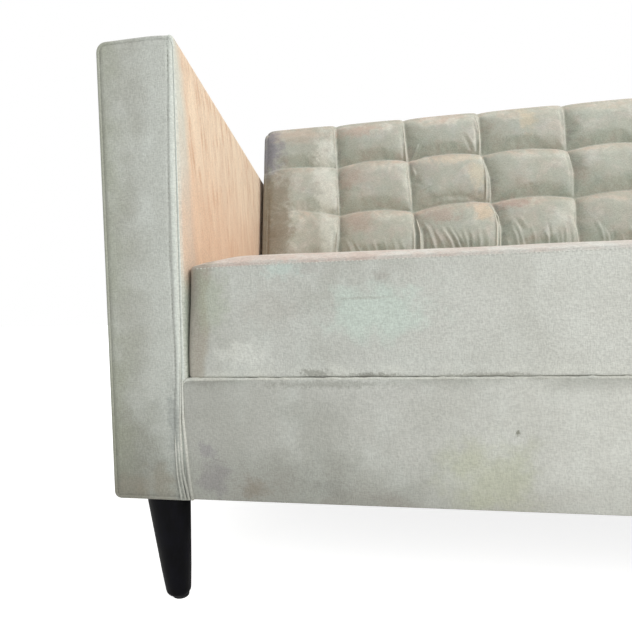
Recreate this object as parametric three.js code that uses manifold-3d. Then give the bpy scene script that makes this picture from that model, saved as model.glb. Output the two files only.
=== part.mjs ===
// A fainting couch: one tall square arm at the head, a reclined grid-tufted back along the
// head two thirds, a loose L-shaped bench cushion and four tapered legs that lean inwards.
// Millimetres, +Z up. The front faces -Y and the arm is at -X. The origin is on the floor
// under the middle of the couch. Inside the model, x runs from the arm's outer face, y from
// the front and z from the floor, and one group carries all of it to the origin.
import * as THREE from "three";
import { mergeVertices } from "three/addons/utils/BufferGeometryUtils.js";
import Module from "manifold-3d";

const wasm = await Module();
wasm.setup();

// Driving dimensions of the whole couch
const couchLength = 1680;
const seatDepth = 520; // couch front to the face of the back
const legHeight = 160; // floor to the underside of the upholstery
const armThickness = 102;
const armHeight = 590; // the upholstered arm, without its legs
const backRise = 562; // platform to the top of the back
const kneeRise = 162; // platform to where the back starts to lean
const recline = THREE.MathUtils.degToRad(17.3);
const backTopDepth = 141; // front to rear across the back's top
const tuftPitch = 180;
const tuftColumns = 6;
const cushionThickness = 150;

// Clearances
const fit = 0.3; // between faces that touch
const backGap = 12; // arm to the side of the back
const backClearance = 4; // cushion to the face of the back
const cushionGap = 4; // cushion to the arm, and to the side of the back
const cutOverrun = 5; // how far a cut runs past the face it opens

// Skins and padding
const fabric = 2; // velvet with its backing
const dustCloth = 1;
const armFoam = 12;
const armBoard = 4;
const armCornerRadius = 8;
const backFoam = 75;
const webbing = 1.5;
const webbingWidth = 50;
const deckPadding = 9;

// Timber
const board = 22; // thickness of the rails and uprights
const railHeight = 135;
const stretcherHeight = 40;
const springRailSetback = 70; // face of the back to the rail that holds the springs
const cornerBlockSize = 90;
const cornerBlockHeight = 60;
const armRail = 45; // height of the arm's rails, and depth of its posts
const backRail = 42; // height of the back's rails
const backRailRise = 34; // base frame to the back's bottom rail

// Legs and their fixings
const legTopRadius = 31;
const legFootRadius = 15.5;
const legFootRounding = 5;
const legInsetX = 55; // couch end to the centre of the leg's top
const legInsetY = 45; // couch front to the centre of the leg's top
const legLeanX = 10; // how far the foot stands inwards of the top, along the couch
const legLeanY = 7; // and across the couch
const glideRadius = 12;
const glideHeight = 3;
const hangerBoltRadius = 4;
const hangerBoltInLeg = 40;
const hangerBoltInBlock = 35;
const armBoltRadius = 4;
const armBoltHeadRadius = 8;
const armBoltHeadHeight = 5;
const armBoltGrip = 42; // how far the bolt reaches into the arm's bottom rail
const armBoltInset = 150; // couch front to the front bolt

// Springs
const springCount = 8;
const springWireRadius = 2;
const springLoops = 16;
const springHalfWidth = 24;
const springArch = 5;
const springClipWidth = 18;
const springClipLength = 16;
const springClipHeight = 5;

// Cushion and its zip
const cushionCornerRadius = 14;
const cushionChamfer = 8;
const zipInset = 130; // cushion's arm end to the zip
const zipLength = 900;
const zipRecessDepth = 18;
const zipRecessHeight = 20;
const zipTape = 2;
const zipSlit = 3;
const sliderLength = 10;
const sliderHeight = 8;
const sliderThickness = 3;
const sliderLug = 1.5;
const pullPivotStandoff = 2.2; // slider's face to the pull's pin
const pullPinRadius = 0.8;
const pullEyeClearance = 0.12;
const pullEyeRadius = 1.9;
const pullReach = 11;
const pullWidth = 4;
const pullThickness = 1.4;

// Facets
const roundSides = 16;
const legSides = 20;
const springSides = 5;
const springStepsPerLoop = 4;
const cornerSteps = 4;
const pinSides = 12;

// Heights that follow
const baseBottom = legHeight + fit + dustCloth + fit;
const railTop = baseBottom + railHeight;
const springLine = railTop + fit + springClipHeight / 2;
const deckPadBottom = springLine + springArch + springWireRadius + fit;
const deckPadTop = deckPadBottom + deckPadding;
const deckTop = deckPadTop + fit + fabric;
const cushionBottom = deckTop + fit;
const cushionTop = deckTop + cushionThickness;
const armTop = legHeight + armHeight;
const backTop = deckTop + backRise;
const kneeZ = deckTop + kneeRise;

// Places that follow, along and across the couch
const skin = fabric + fit;
const kneeY = seatDepth + backClearance;
const couchDepth = kneeY + (backTop - kneeZ) * Math.tan(recline) + backTopDepth;
const frameFront = skin;
const frameRear = couchDepth - skin;
const baseLeft = armThickness + fit;
const baseRight = couchLength - skin;
const backLeft = armThickness + backGap;
const backRight = backLeft + tuftPitch * tuftColumns;
const springRailFront = seatDepth + springRailSetback;
const springRailRear = springRailFront + board;

// Layers of the arm, from its inner face outwards
const boardRight = armThickness - skin - armFoam - fit;
const postRight = boardRight - armBoard - fit;

// Layers of the back, as distances behind its face
const foamFace = skin;
const webbingFace = foamFace + backFoam + fit;
const uprightFace = webbingFace + webbing + fit;

const wood = material("#c9a57a", 0.75);
const plywood = material("#d3b68c", 0.7);
const fibreboard = material("#8a6a48", 0.85);
const foam = material("#e6dcae", 0.95);
const velvet = material("#b3b4a6", 0.85);
const lacquer = material("#0d0e12", 0.35);
const steel = material("#8d9093", 0.35, 1);
const springSteel = material("#4b4e52", 0.4, 1);
const plastic = material("#1b1b1c", 0.6);
const blackCloth = material("#232324", 0.95);
const felt = material("#a9a6a0", 0.95);
const elastic = material("#3f4a46", 0.9);

function material(color, roughness, metalness = 0) {
  return new THREE.MeshStandardMaterial({ color, roughness, metalness });
}

// Booleans: a closed geometry becomes a solid and a solid becomes a geometry again.
function solid(geometry) {
  const bare = new THREE.BufferGeometry();
  bare.setAttribute("position", geometry.getAttribute("position").clone());
  bare.setIndex(geometry.index);
  const merged = mergeVertices(bare.index ? bare.toNonIndexed() : bare);
  return new wasm.Manifold(
    new wasm.Mesh({
      numProp: 3,
      vertProperties: merged.attributes.position.array,
      triVerts: new Uint32Array(merged.index.array),
    }),
  );
}

function geometryOf(shape) {
  const mesh = shape.getMesh();
  const geometry = new THREE.BufferGeometry();
  const places = new THREE.BufferAttribute(new Float32Array(mesh.vertProperties), 3);
  geometry.setAttribute("position", places);
  geometry.setIndex(new THREE.BufferAttribute(new Uint32Array(mesh.triVerts), 1));
  const facets = geometry.toNonIndexed();
  facets.computeVertexNormals();
  return facets;
}

function cut(geometry, ...tools) {
  return geometryOf(tools.reduce((left, tool) => left.subtract(solid(tool)), solid(geometry)));
}

function join(geometry, ...others) {
  return geometryOf(others.reduce((made, other) => made.add(solid(other)), solid(geometry)));
}

// A box between two corners, as a geometry in the model's own places.
function span([x0, x1], [y0, y1], [z0, z1]) {
  const box = new THREE.BoxGeometry(x1 - x0, y1 - y0, z1 - z0);
  return box.translate((x0 + x1) / 2, (y0 + y1) / 2, (z0 + z1) / 2);
}

// A rod between two heights.
function rod(x, y, [z0, z1], radius, sides = roundSides) {
  const geometry = new THREE.CylinderGeometry(radius, radius, z1 - z0, sides);
  return geometry.rotateX(Math.PI / 2).translate(x, y, (z0 + z1) / 2);
}

// A rod that lies along the couch.
function rodAlong(y, z, [x0, x1], radius, sides = roundSides) {
  const geometry = new THREE.CylinderGeometry(radius, radius, x1 - x0, sides);
  return geometry.rotateZ(Math.PI / 2).translate((x0 + x1) / 2, y, z);
}

// A section drawn in [y, z] points, drawn out along the couch.
function sectionAlong(points, [x0, x1]) {
  const shape = new THREE.Shape(points.map(([y, z]) => new THREE.Vector2(y, z)));
  const geometry = new THREE.ExtrudeGeometry(shape, { depth: x1 - x0, bevelEnabled: false });
  const turn = new THREE.Matrix4().set(0, 0, 1, x0, 1, 0, 0, 0, 0, 1, 0, 0, 0, 0, 0, 1);
  return geometry.applyMatrix4(turn);
}

// A section drawn in x and z, drawn out from front to rear.
function sectionAcross(shape, [y0, y1]) {
  const options = { depth: y1 - y0, bevelEnabled: false, curveSegments: cornerSteps };
  const geometry = new THREE.ExtrudeGeometry(shape, options);
  return geometry.rotateX(Math.PI / 2).translate(0, y1, 0);
}

const couch = new THREE.Group();
couch.position.set(-couchLength / 2, -couchDepth / 2, 0);

function add(name, geometry, surface) {
  geometry.computeBoundingBox();
  const centre = geometry.boundingBox.getCenter(new THREE.Vector3());
  const mesh = new THREE.Mesh(geometry.translate(-centre.x, -centre.y, -centre.z), surface);
  mesh.name = name;
  mesh.position.copy(centre);
  couch.add(mesh);
  return mesh;
}

// The four legs' places: which end and side each is at, and the centre of its top.
const legPlaces = ["front_left", "front_right", "rear_left", "rear_right"].map((name) => {
  const right = name.endsWith("right");
  const rear = name.startsWith("rear");
  return {
    name,
    x: right ? couchLength - legInsetX : legInsetX,
    y: rear ? couchDepth - legInsetY : legInsetY,
    leanX: right ? -legLeanX : legLeanX,
    leanY: rear ? -legLeanY : legLeanY,
  };
});

function boltHoles(z) {
  return legPlaces.map(({ x, y }) => rod(x, y, z, hangerBoltRadius + fit));
}

// Legs: a tapered, round turning that leans, with a foot glide and a hanger bolt
function leg({ x, y, leanX, leanY }) {
  const footZ = glideHeight + fit;
  const rounding = Array.from({ length: cornerSteps + 1 }, (_, i) => {
    const angle = (i / cornerSteps) * (Math.PI / 2);
    const r = legFootRadius - legFootRounding * (1 - Math.sin(angle));
    return new THREE.Vector2(r, footZ + legFootRounding * (1 - Math.cos(angle)));
  });
  const profile = [
    new THREE.Vector2(0, footZ),
    ...rounding,
    new THREE.Vector2(legTopRadius, legHeight),
    new THREE.Vector2(0, legHeight),
  ];
  const turned = new THREE.LatheGeometry(profile, legSides).rotateX(Math.PI / 2);
  const lean = new THREE.Matrix4().makeShear(0, 0, 0, 0, -leanX / legHeight, -leanY / legHeight);
  const places = turned.applyMatrix4(lean).translate(x + leanX, y + leanY, 0);
  const hole = [legHeight - hangerBoltInLeg - fit, legHeight + cutOverrun];
  return cut(places, rod(x, y, hole, hangerBoltRadius + fit));
}

for (const place of legPlaces) {
  const { name, x, y, leanX, leanY } = place;
  const boltSpan = [legHeight - hangerBoltInLeg, legHeight + hangerBoltInBlock];
  add(`leg_${name}`, leg(place), lacquer);
  add(`hanger_bolt_${name}`, rod(x, y, boltSpan, hangerBoltRadius, pinSides), steel);
  add(`glide_${name}`, rod(x + leanX, y + leanY, [0, glideHeight], glideRadius), plastic);
}

// Base frame
const armBoltZ = baseBottom + armRail / 2;
const armBoltPlaces = { front: armBoltInset, rear: seatDepth };
const armBoltTip = postRight - armBoltGrip;

function armBoltHoles() {
  const run = [armBoltTip - fit, baseLeft + board + cutOverrun];
  return Object.values(armBoltPlaces).map((y) => rodAlong(y, armBoltZ, run, armBoltRadius + fit));
}

const railSpan = [baseBottom, railTop];
const railFrontY = [frameFront, frameFront + board];
const railRearY = [frameRear - board, frameRear];
const betweenRails = [railFrontY[1] + fit, railRearY[0] - fit];
const betweenEnds = [baseLeft + board + fit, baseRight - board - fit];
add("front_rail", span([baseLeft, baseRight], railFrontY, railSpan), wood);
add("rear_rail", span([baseLeft, baseRight], railRearY, railSpan), wood);
const leftEnd = span([baseLeft, baseLeft + board], betweenRails, railSpan);
add("left_end_rail", cut(leftEnd, ...armBoltHoles()), wood);
add("right_end_rail", span([baseRight - board, baseRight], betweenRails, railSpan), wood);

const stretcherX = (baseLeft + baseRight) / 2;
const stretcherTop = baseBottom + stretcherHeight;
const stretcherRun = [stretcherX - board / 2, stretcherX + board / 2];
add("centre_stretcher", span(stretcherRun, betweenRails, [baseBottom, stretcherTop]), wood);
const springRailSpan = [stretcherTop + fit, railTop];
add("spring_rail", span(betweenEnds, [springRailFront, springRailRear], springRailSpan), wood);

const blockX = [betweenEnds[1] - cornerBlockSize, betweenEnds[1]];
const blockZ = [baseBottom, baseBottom + cornerBlockHeight];
const blockRuns = {
  front: [betweenRails[0], betweenRails[0] + cornerBlockSize],
  rear: [betweenRails[1] - cornerBlockSize, betweenRails[1]],
};
const blockHole = [baseBottom - cutOverrun, legHeight + hangerBoltInBlock + fit];
for (const [end, run] of Object.entries(blockRuns)) {
  const block = cut(span(blockX, run, blockZ), ...boltHoles(blockHole));
  add(`corner_block_${end}`, block, wood);
}

// Springs: a sinuous wire from the front rail to the spring rail, a clip at each end
class SinuousLine extends THREE.Curve {
  constructor(x, y0, y1) {
    super();
    Object.assign(this, { x, y0, y1 });
  }
  getPoint(t) {
    const x = this.x + springHalfWidth * Math.sin(t * springLoops * Math.PI);
    const z = springLine + springArch * Math.sin(t * Math.PI);
    return new THREE.Vector3(x, THREE.MathUtils.lerp(this.y0, this.y1, t), z);
  }
}

function spring(x) {
  const ends = [frameFront + board / 2, springRailFront + board / 2];
  const ring = Array.from({ length: springSides }, (_, i) => {
    const angle = (i / springSides) * 2 * Math.PI;
    return new THREE.Vector2(Math.cos(angle), Math.sin(angle)).multiplyScalar(springWireRadius);
  });
  const wire = new THREE.ExtrudeGeometry(new THREE.Shape(ring), {
    extrudePath: new SinuousLine(x, ...ends),
    steps: springLoops * springStepsPerLoop,
    bevelEnabled: false,
  });
  const clips = ends.map((y) =>
    span(
      [x - springClipWidth / 2, x + springClipWidth / 2],
      [y - springClipLength / 2, y + springClipLength / 2],
      [railTop + fit, railTop + fit + springClipHeight],
    ),
  );
  return join(wire, ...clips);
}

const springPitch = (betweenEnds[1] - betweenEnds[0]) / springCount;
for (let i = 0; i < springCount; i += 1) {
  const x = betweenEnds[0] + (i + 0.5) * springPitch;
  add(`seat_spring_${i + 1}`, spring(x), springSteel);
}

// The seat's L shape: the full depth past the end of the back, the seat depth beside it
function seatShape([x0, x1], [y0, y1], notchX, rearY, radius) {
  const shape = new THREE.Shape();
  shape.moveTo(x0, y0 + radius);
  shape.absarc(x0 + radius, y0 + radius, radius, Math.PI, 1.5 * Math.PI);
  shape.absarc(x1 - radius, y0 + radius, radius, 1.5 * Math.PI, 2 * Math.PI);
  shape.absarc(x1 - radius, rearY - radius, radius, 0, Math.PI / 2);
  shape.absarc(notchX + radius, rearY - radius, radius, Math.PI / 2, Math.PI);
  shape.lineTo(notchX, y1);
  shape.absarc(x0 + radius, y1 - radius, radius, Math.PI / 2, Math.PI);
  return shape;
}

function seatSlab(outline, [z0, z1], chamfer = 0) {
  const geometry = new THREE.ExtrudeGeometry(outline, {
    depth: z1 - z0 - 2 * chamfer,
    curveSegments: cornerSteps,
    bevelEnabled: chamfer > 0,
    bevelSize: chamfer,
    bevelThickness: chamfer,
    bevelOffset: -chamfer,
    bevelSegments: 1,
  });
  return geometry.translate(0, 0, z0 + chamfer);
}

const deckDepth = [frameFront, seatDepth];
const deckRun = [baseLeft, baseRight];
const deck = seatShape(deckRun, deckDepth, backRight + fit, frameRear, cushionGap);
add("deck_pad", seatSlab(deck, [deckPadBottom, deckPadTop]), felt);
add("deck_cover", seatSlab(deck, [deckPadTop + fit, deckTop]), velvet);

// Covers of the base, and the dust cloth under everything
const bandSpan = [baseBottom, deckTop];
const baseRun = [baseLeft, baseRight];
add("front_rail_cover", span(baseRun, [0, fabric], bandSpan), velvet);
const endCoverX = [couchLength - fabric, couchLength];
add("end_rail_cover", span(endCoverX, [0, couchDepth], bandSpan), velvet);
const openRear = [backRight + fit, baseRun[1]];
add("rear_rail_cover", span(openRear, [couchDepth - fabric, couchDepth], bandSpan), velvet);

const dustRun = [fabric, couchLength - fabric];
const dustSpan = [legHeight + fit, legHeight + fit + dustCloth];
const dustHole = [legHeight, baseBottom + cutOverrun];
const dustSheet = span(dustRun, [fabric, couchDepth - fabric], dustSpan);
add("dust_cover", cut(dustSheet, ...boltHoles(dustHole)), blackCloth);

// Arm: a box frame with boards, a sheet of foam over it and a velvet cover
const armFrameFront = skin + armFoam + fit;
const armFrameTop = armTop - skin - armFoam - fit;
const armBottomTop = baseBottom + armRail;
const postX = [armThickness - postRight, postRight];
const armRunY = [armFrameFront, frameRear];
const postZ = [armBottomTop + fit, armFrameTop];

const bottomRail = span(postX, armRunY, [baseBottom, armBottomTop]);
const leftLegHole = [baseBottom - cutOverrun, legHeight + hangerBoltInBlock + fit];
const bottomRailCut = cut(bottomRail, ...boltHoles(leftLegHole), ...armBoltHoles());
add("arm_bottom_rail", bottomRailCut, wood);
const frontPostY = [armFrameFront, armFrameFront + armRail];
const rearPostY = [frameRear - armRail, frameRear];
add("arm_front_post", span(postX, frontPostY, postZ), wood);
add("arm_rear_post", span(postX, rearPostY, postZ), wood);
const topRailY = [frontPostY[1] + fit, rearPostY[0] - fit];
add("arm_top_rail", span(postX, topRailY, [armFrameTop - armRail, armFrameTop]), wood);

const boardZ = [baseBottom, armFrameTop];
const outerBoardX = [armThickness - boardRight, postX[0] - fit];
const innerBoardX = [postRight + fit, boardRight];
add("arm_outer_board", span(outerBoardX, armRunY, boardZ), fibreboard);
add("arm_inner_board", cut(span(innerBoardX, armRunY, boardZ), ...armBoltHoles()), fibreboard);

// The arm's section with rounded top corners, taken in by a skin all round
function armSection(inset, bottom = baseBottom) {
  const radius = armCornerRadius - inset;
  const [x0, x1] = [inset, armThickness - inset];
  const top = armTop - inset;
  const shape = new THREE.Shape();
  shape.moveTo(x0, bottom);
  shape.lineTo(x1, bottom);
  shape.absarc(x1 - radius, top - radius, radius, 0, Math.PI / 2);
  shape.absarc(x0 + radius, top - radius, radius, Math.PI / 2, Math.PI);
  return shape;
}

const hollowBottom = baseBottom - cutOverrun;
const hollowRear = couchDepth - fabric;
const coverBody = sectionAcross(armSection(0), [skin, couchDepth]);
const coverHollow = sectionAcross(armSection(fabric, hollowBottom), [-cutOverrun, hollowRear]);
add("arm_cover", cut(coverBody, coverHollow, ...armBoltHoles()), velvet);
add("arm_front_panel", sectionAcross(armSection(0), [0, fabric]), velvet);

const wrapBody = sectionAcross(armSection(skin), [armFrameFront, frameRear]);
const wrapHollow = span(
  [skin + armFoam, armThickness - skin - armFoam],
  [-cutOverrun, frameRear + cutOverrun],
  [hollowBottom, armTop - skin - armFoam],
);
add("arm_foam_wrap", cut(wrapBody, wrapHollow, ...armBoltHoles()), foam);
add("arm_front_foam", sectionAcross(armSection(skin), [skin, skin + armFoam]), foam);

for (const [end, y] of Object.entries(armBoltPlaces)) {
  const headStart = baseLeft + board + fit;
  const shank = rodAlong(y, armBoltZ, [armBoltTip, headStart + fit], armBoltRadius, pinSides);
  const headRun = [headStart, headStart + armBoltHeadHeight];
  const head = rodAlong(y, armBoltZ, headRun, armBoltHeadRadius, pinSides);
  add(`arm_bolt_${end}`, join(head, shank), steel);
}

// Back: places on planes that lie a distance behind its face
function behind(distance, z) {
  return kneeY + (z - kneeZ) * Math.tan(recline) + distance / Math.cos(recline);
}

function kneeBehind(distance) {
  return [kneeY + distance, kneeZ - distance * Math.tan(recline / 2)];
}

const backFrameTop = backTop - skin;
const backFrameBottom = deckPadBottom;
const backInside = [backLeft + skin, backRight - skin];

function backSection(distance, bottom, top, rear) {
  return [
    [kneeY + distance, bottom],
    kneeBehind(distance),
    [behind(distance, top), top],
    [rear, top],
    [rear, bottom],
  ];
}

const backOuter = backSection(0, backFrameBottom, backTop, frameRear);
const backHollow = backSection(
  fabric,
  backFrameBottom - cutOverrun,
  backTop - fabric,
  frameRear + cutOverrun,
);
const backBody = sectionAlong(backOuter, [backLeft, backRight]);
const backRoom = sectionAlong(backHollow, [backLeft + fabric, backRight - fabric]);
add("back_cover", cut(backBody, backRoom), velvet);

const foamRear = foamFace + backFoam;
const foamSection = [
  [kneeY + foamFace, backFrameBottom],
  kneeBehind(foamFace),
  [behind(foamFace, backFrameTop), backFrameTop],
  [behind(foamRear, backFrameTop), backFrameTop],
  kneeBehind(foamRear),
  [kneeY + foamRear, backFrameBottom],
];
add("back_foam", sectionAlong(foamSection, backInside), foam);

const outsideBack = new THREE.Shape();
outsideBack.moveTo(baseLeft, baseBottom);
outsideBack.lineTo(backRight, baseBottom);
outsideBack.lineTo(backRight, backTop);
outsideBack.lineTo(backLeft, backTop);
outsideBack.lineTo(backLeft, railTop);
outsideBack.lineTo(baseLeft, railTop);
const rearFace = [couchDepth - fabric, couchDepth];
add("outside_back_cover", sectionAcross(outsideBack, rearFace), velvet);

const topRailBottom = backFrameTop - backRail;
const topRailSection = [
  [behind(uprightFace, topRailBottom), topRailBottom],
  [behind(uprightFace, backFrameTop), backFrameTop],
  [frameRear, backFrameTop],
  [frameRear, topRailBottom],
];
add("back_top_rail", sectionAlong(topRailSection, backInside), wood);

const lowRailZ = [railTop + backRailRise, railTop + backRailRise + backRail];
const lowRailY = [kneeY + uprightFace, kneeY + uprightFace + board];
add("back_bottom_rail", span(backInside, lowRailY, lowRailZ), wood);

// An upright is cut from board: it drops between the spring rail and the rear rail, and
// is notched for the bottom rail
const uprightTop = topRailBottom - fit;
const uprightSection = [
  [springRailRear + fit, baseBottom],
  [springRailRear + fit, lowRailZ[0] - fit],
  [lowRailY[1] + fit, lowRailZ[0] - fit],
  [lowRailY[1] + fit, lowRailZ[1] + fit],
  [lowRailY[0], lowRailZ[1] + fit],
  kneeBehind(uprightFace),
  [behind(uprightFace, uprightTop), uprightTop],
  [frameRear, uprightTop],
  [frameRear, railTop + fit],
  [betweenRails[1], railTop + fit],
  [betweenRails[1], baseBottom],
];
const uprightRuns = {
  left: Math.max(backInside[0], betweenEnds[0]),
  middle: (backLeft + backRight - board) / 2,
  right: backInside[1] - board,
};
for (const [place, x] of Object.entries(uprightRuns)) {
  add(`back_upright_${place}`, sectionAlong(uprightSection, [x, x + board]), plywood);
}

const webbingShares = { lower: 0.3, upper: 0.72 };
for (const [place, share] of Object.entries(webbingShares)) {
  const z = THREE.MathUtils.lerp(kneeZ, topRailBottom, share);
  const run = backInside[1] - backInside[0];
  const strap = new THREE.BoxGeometry(run, webbing, webbingWidth).rotateX(-recline);
  const y = behind(webbingFace + webbing / 2, z);
  strap.translate((backInside[0] + backInside[1]) / 2, y, z);
  add(`back_webbing_${place}`, strap, elastic);
}

// Seat cushion: a foam core in a velvet cover, with a zip in the boxing behind
const cushionX = [baseLeft + cushionGap, couchLength];
const notchX = backRight + cushionGap;
const zipZ = (cushionBottom + cushionTop) / 2;
const zipX = [cushionX[0] + zipInset, cushionX[0] + zipInset + zipLength];
const zipFloor = seatDepth - zipRecessDepth;
const chamferTaper = 2 - Math.SQRT2; // how much less a chamfer is on a body one unit inside

function cushionBody(inset, backInset) {
  const x = [cushionX[0] + inset, cushionX[1] - inset];
  const y = [inset, seatDepth - backInset];
  const rear = couchDepth - inset;
  const outline = seatShape(x, y, notchX + inset, rear, cushionCornerRadius - inset);
  const z = [cushionBottom + inset, cushionTop - inset];
  return seatSlab(outline, z, cushionChamfer - inset * chamferTaper);
}

function zipCuts() {
  const recess = span(
    [zipX[0] - pullReach - sliderLength, zipX[1] + pullReach + sliderLength],
    [zipFloor, seatDepth + cutOverrun],
    [zipZ - zipRecessHeight / 2, zipZ + zipRecessHeight / 2],
  );
  const slit = span(
    zipX,
    [zipFloor - zipTape - cutOverrun, zipFloor + cutOverrun],
    [zipZ - zipSlit / 2, zipZ + zipSlit / 2],
  );
  return [recess, slit];
}

const boxing = zipRecessDepth + zipTape;
const coverShell = cut(cushionBody(0, 0), cushionBody(fabric, boxing), ...zipCuts());
add("seat_cushion_cover", coverShell, velvet);
add("seat_foam_core", cushionBody(skin, boxing + fit), foam);

// The zip's slider, with two lugs that hold the pin, and the pull that turns on it
const sliderX = zipX[0] + sliderLength / 2;
const sliderY = [zipFloor + fit, zipFloor + fit + sliderThickness];
const pivotY = sliderY[1] + pullPivotStandoff;
const lugInner = pullWidth / 2 + fit;
const lugOuter = lugInner + sliderLug;

function slider() {
  const body = span(
    [sliderX - sliderLength / 2, sliderX + sliderLength / 2],
    sliderY,
    [zipZ - sliderHeight / 2, zipZ + sliderHeight / 2],
  );
  const lugs = [-1, 1].map((side) => {
    const edges = [zipZ + side * lugInner, zipZ + side * lugOuter].sort((a, b) => a - b);
    const width = 2 * pullPinRadius;
    return span([sliderX - width, sliderX + width], [sliderY[0], pivotY + width], edges);
  });
  const middle = (lugInner + lugOuter) / 2;
  const pinSpan = [zipZ - middle, zipZ + middle];
  return join(body, ...lugs, rod(sliderX, pivotY, pinSpan, pullPinRadius, pinSides));
}

function pull() {
  const height = [zipZ - pullWidth / 2, zipZ + pullWidth / 2];
  const tongueY = [pivotY - pullThickness / 2, pivotY + pullThickness / 2];
  const tongue = span([sliderX, sliderX + pullReach], tongueY, height);
  const eye = rod(sliderX, pivotY, height, pullEyeRadius, pinSides);
  const holeSpan = [height[0] - cutOverrun, height[1] + cutOverrun];
  const hole = rod(sliderX, pivotY, holeSpan, pullPinRadius + pullEyeClearance, pinSides);
  return cut(join(tongue, eye), hole);
}

add("zip_slider", slider(), steel);
add("zip_pull", pull(), steel);

export default couch;
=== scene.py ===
# A velvet fainting couch with a tall square arm, a grid-tufted back and a loose bench cushion.
import itertools
import math
import random
import bpy
import bmesh
from mathutils.bvhtree import BVHTree
from mathutils import Matrix, Vector, noise


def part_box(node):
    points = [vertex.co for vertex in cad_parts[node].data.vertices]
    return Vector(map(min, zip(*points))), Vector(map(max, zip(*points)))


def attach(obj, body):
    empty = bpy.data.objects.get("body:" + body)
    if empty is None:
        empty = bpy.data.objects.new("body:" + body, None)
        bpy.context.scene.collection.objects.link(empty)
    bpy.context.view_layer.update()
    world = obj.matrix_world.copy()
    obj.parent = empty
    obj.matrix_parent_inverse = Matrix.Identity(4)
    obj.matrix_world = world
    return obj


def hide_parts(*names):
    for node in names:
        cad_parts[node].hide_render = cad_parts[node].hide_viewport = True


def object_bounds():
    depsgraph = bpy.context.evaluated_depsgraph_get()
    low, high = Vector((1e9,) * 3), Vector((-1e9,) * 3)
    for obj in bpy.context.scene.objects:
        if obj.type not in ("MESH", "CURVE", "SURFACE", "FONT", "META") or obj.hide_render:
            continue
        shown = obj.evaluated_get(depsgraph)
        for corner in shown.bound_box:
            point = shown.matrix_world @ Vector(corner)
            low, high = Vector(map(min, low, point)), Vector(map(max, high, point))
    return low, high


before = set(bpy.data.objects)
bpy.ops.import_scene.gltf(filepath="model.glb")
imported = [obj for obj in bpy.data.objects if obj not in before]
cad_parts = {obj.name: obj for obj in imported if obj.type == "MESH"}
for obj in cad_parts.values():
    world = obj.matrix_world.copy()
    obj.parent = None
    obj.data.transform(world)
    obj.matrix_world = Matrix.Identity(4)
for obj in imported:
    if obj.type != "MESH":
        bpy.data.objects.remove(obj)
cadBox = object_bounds()
mm = 0.001
floorHeight = cadBox[0].z
print("frame loaded")

armLow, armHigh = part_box("arm_cover")
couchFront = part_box("arm_front_panel")[0].y
armLow.y = couchFront
cushionLow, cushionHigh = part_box("seat_cushion_cover")
backLow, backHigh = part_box("back_cover")
railLow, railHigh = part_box("front_rail_cover")


# The camera that the photograph was taken with, worked out from the couch's straight edges
view = {
    "focalPixels": 453.5,
    "centrePixels": (267.1, 326.4),
    "imagePixels": 632,
    "pitch": math.radians(-2.16),
    "roll": math.radians(1.69),
    "yaw": math.radians(9.07),
    "place": (298.6 * mm, -555.9 * mm, 404.7 * mm),  # from the arm's outer face, front and floor
    "sensor": 36.0,
}


def placeCamera():
    data = bpy.data.cameras.new("photographView")
    data.sensor_width = view["sensor"]
    data.lens = view["focalPixels"] / view["imagePixels"] * view["sensor"]
    data.shift_x = 0.5 - view["centrePixels"][0] / view["imagePixels"]
    data.shift_y = view["centrePixels"][1] / view["imagePixels"] - 0.5
    data.clip_start = 0.01
    camera = bpy.data.objects.new("photographView", data)
    bpy.context.scene.collection.objects.link(camera)
    corner = Vector((armLow.x, couchFront, floorHeight))
    turn = Matrix.Rotation(view["yaw"], 4, "Z") @ Matrix.Rotation(view["pitch"], 4, "X")
    turn = turn @ Matrix.Rotation(view["roll"], 4, "Y")
    level = Matrix.Rotation(math.pi / 2, 4, "X")
    camera.matrix_world = Matrix.Translation(corner + Vector(view["place"])) @ turn @ level
    bpy.context.scene.camera = camera


placeCamera()
print("camera placed")


# Materials
def hexColor(code):
    parts = [int(code[i : i + 2], 16) / 255 for i in (1, 3, 5)]
    return [c / 12.92 if c <= 0.04045 else ((c + 0.055) / 1.055) ** 2.4 for c in parts] + [1.0]


def addNode(tree, kind, settings=None, links=None):
    node = tree.nodes.new("ShaderNode" + kind)
    for key, value in (settings or {}).items():
        if isinstance(key, str) and key[0].islower():
            setattr(node, key, value)
        else:
            node.inputs[key].default_value = value
    for key, source in (links or {}).items():
        if isinstance(source, bpy.types.Node):
            source = next(out for out in source.outputs if out.enabled)
        tree.links.new(source, node.inputs[key])
    return node


def newMaterial(name, shader):
    material = bpy.data.materials.new(name)
    material.use_nodes = True
    tree = material.node_tree
    tree.nodes.clear()
    principled = addNode(tree, "BsdfPrincipled", shader)
    addNode(tree, "OutputMaterial", links={"Surface": principled})
    return material, tree, principled


# A cloudy pattern whose patches are that size in metres, mapped to 0 to 1 between two levels
def cloudMask(tree, size, low=0.36, high=0.64, detail=3.0, stretch=(1, 1, 1), rough=0.5, warp=0.0,
              lean=0.0):
    coords = addNode(tree, "TexCoord").outputs["Object"]
    place = {"vector_type": "TEXTURE", "Scale": [size * s for s in stretch], "Rotation": (lean, 0, 0)}
    placed = addNode(tree, "Mapping", place, {0: coords})
    look = {"Scale": 1.0, "Detail": detail, "Roughness": rough, "Distortion": warp}
    cloud = addNode(tree, "TexNoise", look, {"Vector": placed})
    span = {"interpolation_type": "SMOOTHSTEP", 1: low, 2: high}
    return addNode(tree, "MapRange", span, {0: cloud})


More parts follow.
